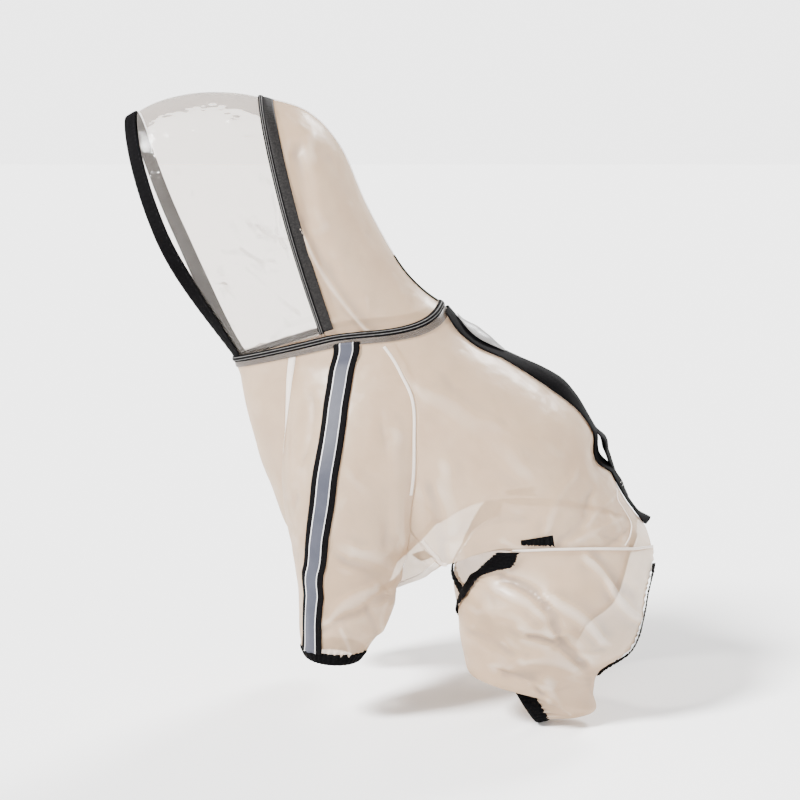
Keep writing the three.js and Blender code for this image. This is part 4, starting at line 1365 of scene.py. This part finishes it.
cells = neck_cells((-0.058, 0.052), [0.2, 0.9, 1.1, 1.3, 1.4, 1.3, 1.1, 0.9, 0.2])
piece("neck_piping", cells, [TAPE, PIPE_EDGE], ["neck_tape"], "black_fabric", 1.4, -1, bands=PIPED_BANDS)
cells = neck_cells((0.055, 0.25), [0.6, 0.9, 1.0, 1.0, 0.9, 0.7])
piece("neck_seam_band", cells, NECK_FILM, ["neck_allowance"], "seam_film", 0.3, -1)


# Back: closure strip with the tab at its tail end, and the flap over the lead's opening
STRIP = Table("station lift half", [
    (0.16, 3.0, 18),
    (0.6, 3.0, 24),
    (1.1, 3.2, 25),
    (1.7, 3.2, 22),
    (2.2, 5.5, 20),
    (2.7, 9, 19),
    (3.2, 10.5, 19),
    (3.7, 7, 19),
    (4.1, 4, 18),
    (4.5, 3.2, 18),
    (4.9, 4.5, 23),
    (5.3, 4.5, 26),
    (5.9, 3.2, 18),
    (6.3, 4.4, 15),
    (6.7, 3.6, 14),
    (7.1, 3.2, 12),
    (7.6, 3.2, 6),
    (7.95, 3.4, 9),
    (8.3, 4.6, 14),
    (8.7, 6.2, 13),
    (9.0, 7.4, 6),
])
FLAP = Table("station lift half", [
    (0.42, 4.6, 9),
    (0.7, 7, 13),
    (1.0, 9.5, 15),
    (1.3, 9.5, 15),
    (1.6, 6.5, 12),
    (1.85, 4.8, 7),
])
EDGE_AT_NECK = 2.2
EDGE_ON_BACK = 1.0
ARCH = 2.6
ARCH_STATION = 4.95
FLAP_EDGE = 4.8


def on_spine(station, mm, lift):
    row = BODY.at(station)
    share = np.clip(np.abs(mm) / row.half, 0, 1) ** (1 / SQUARE)
    angle = np.sign(mm) * np.arcsin(share) / RAD
    return body(station, angle) + body_normal(station, angle) * lift[..., None]


def strip_cells(first, last, rows, columns, width, raise_by, sunk=0):
    """Cells along the spine; the share `sunk` follows the hollow of the film."""
    station = STRIP.when("station", np.linspace(first, last, rows)[:, None])
    c = np.linspace(-1, 1, columns)[None, :]
    foot = mix(EDGE_AT_NECK, EDGE_ON_BACK, smooth((station.station - 0.3) / 0.5))
    lift = foot + (np.maximum(station.lift, foot) - foot) * (1 - c**2)
    wavy = np.where(c > 0, 1, -1) * np.sin(station.station * 5.2 + np.where(c > 0, 0, 1.1))
    mm = station.half * c * width + 1.5 * wavy * smooth((2.2 - station.station) / 0.8) * c**2
    lift = lift + 0.5 * (1 + np.sin(station.station * 6.4 + 1.3 * c)) * c**2 * (1 - sunk) + raise_by
    return on_spine(station.station, mm, lift - sunk * dent(station.station, mm / 2))


cells = strip_cells(0.14, 9.0, 320, 25, 1, 0, 1)
piece("back_strip_tape", cells, TAPE, ["back_strip"], "black_fabric", 0.7)
arched = ARCH * bump((np.linspace(0.5, 7.0, 260)[:, None] - ARCH_STATION) / 0.35)
cells = strip_cells(0.5, 7.0, 260, 13, 0.56, 0.75 + arched)
piece("back_closure", cells, LOOPS, slot="black_fabric", wall=0.5)
for share, where in ((-0.5, "left"), (0.5, "right")):
    station = np.linspace(0.52, 6.95, 300)
    row = STRIP.when("station", station)
    lift = EDGE_ON_BACK + (np.maximum(row.lift, EDGE_ON_BACK) - EDGE_ON_BACK) * (1 - share**2) + 1.55
    stitches(f"closure_stitches_{where}", on_spine(station, row.half * share, lift), thread=DARK_THREAD)

for station, name in ((6.28, "first"), (6.42, "second")):
    across = np.linspace(-14, 14, 40)
    line = on_spine(np.full(40, station), across, 5.6 - 3.6 * (across / 15) ** 2)
    stitches(f"closure_cross_stitches_{name}", line, gap=0.4)

station = FLAP.when("station", np.linspace(0.42, 1.85, 60)[:, None])
c = np.linspace(-1, 1, 21)[None, :]
lift = mix(FLAP_EDGE, station.lift, 1 - c**2) + 0.4 * np.sin(station.station * 9 + 2 * c) * (1 - c**2)
piece("leash_flap_film", on_spine(station.station, station.half * c, lift), FLAP_FILM, ["leash_flap"])

t = np.linspace(0, 1, 24)
cells = body((4.93 + 0.2 * t)[:, None], (110.5 + 5.5 * t)[None, :])
cells = cells - body_normal((4.93 + 0.2 * t)[:, None], (110.5 + 5.5 * t)[None, :]) * 1.2
piece("label_tape", cells, TAPE, ["label"], "black_fabric", 0.4)


# Stage: a plain pale floor that runs out to the pale sky, and soft studio light
FLOOR = -304.0
EDGE = 40.0
ground = bpy.data.meshes.new("floor")
corners = [(-EDGE, -EDGE, 0), (EDGE, -EDGE, 0), (EDGE, EDGE, 0), (-EDGE, EDGE, 0)]
ground.from_pydata(corners, [], [(0, 1, 2, 3)])
floor = bpy.data.objects.new("floor", ground)
floor.location = (0, 0, FLOOR * MM)
bpy.context.scene.collection.objects.link(floor)
pale, tree = material("pale_floor")
shell = add(tree, "BsdfPrincipled", {
    "Base Color": color(0.93, 0.93, 0.93),
    "Roughness": 0.9,
    "Specular IOR Level": 0.1,
})
shown(tree, shell)
ground.materials.append(pale)

LAMPS = {
    "key": ((-1.3, -0.9, 1.5), 12.0, 14),
    "fill": ((1.6, -1.2, 0.4), 1.2, 40),
    "back": ((0.9, 1.4, 1.3), 4.5, 16),
    "front": ((-1.7, 0.4, 0.2), 1.0, 30),
}
for name, (where, power, spread) in LAMPS.items():
    light = bpy.data.lights.new(name, "SUN")
    light.angle = spread * RAD
    light.energy = power
    lamp = bpy.data.objects.new(name, light)
    lamp.location = where
    lamp.rotation_euler = Vector([0.0 - c for c in where]).to_track_quat("-Z", "Y").to_euler()
    bpy.context.scene.collection.objects.link(lamp)

HORIZON = 3.7
ZENITH = 0.6
world = bpy.data.worlds.new("studio")
world.use_nodes = True
tree = world.node_tree
way = add(tree, "TexCoord").outputs["Generated"]
height = add(tree, "SeparateXYZ", {"Vector": way}).outputs["Z"]
sky = tree.nodes["Background"]
sky.inputs["Color"].default_value = color(1, 1, 1)
tree.links.new(ranged(tree, height, HORIZON, ZENITH, 0.1, 0.35), sky.inputs["Strength"])
bpy.context.scene.world = world
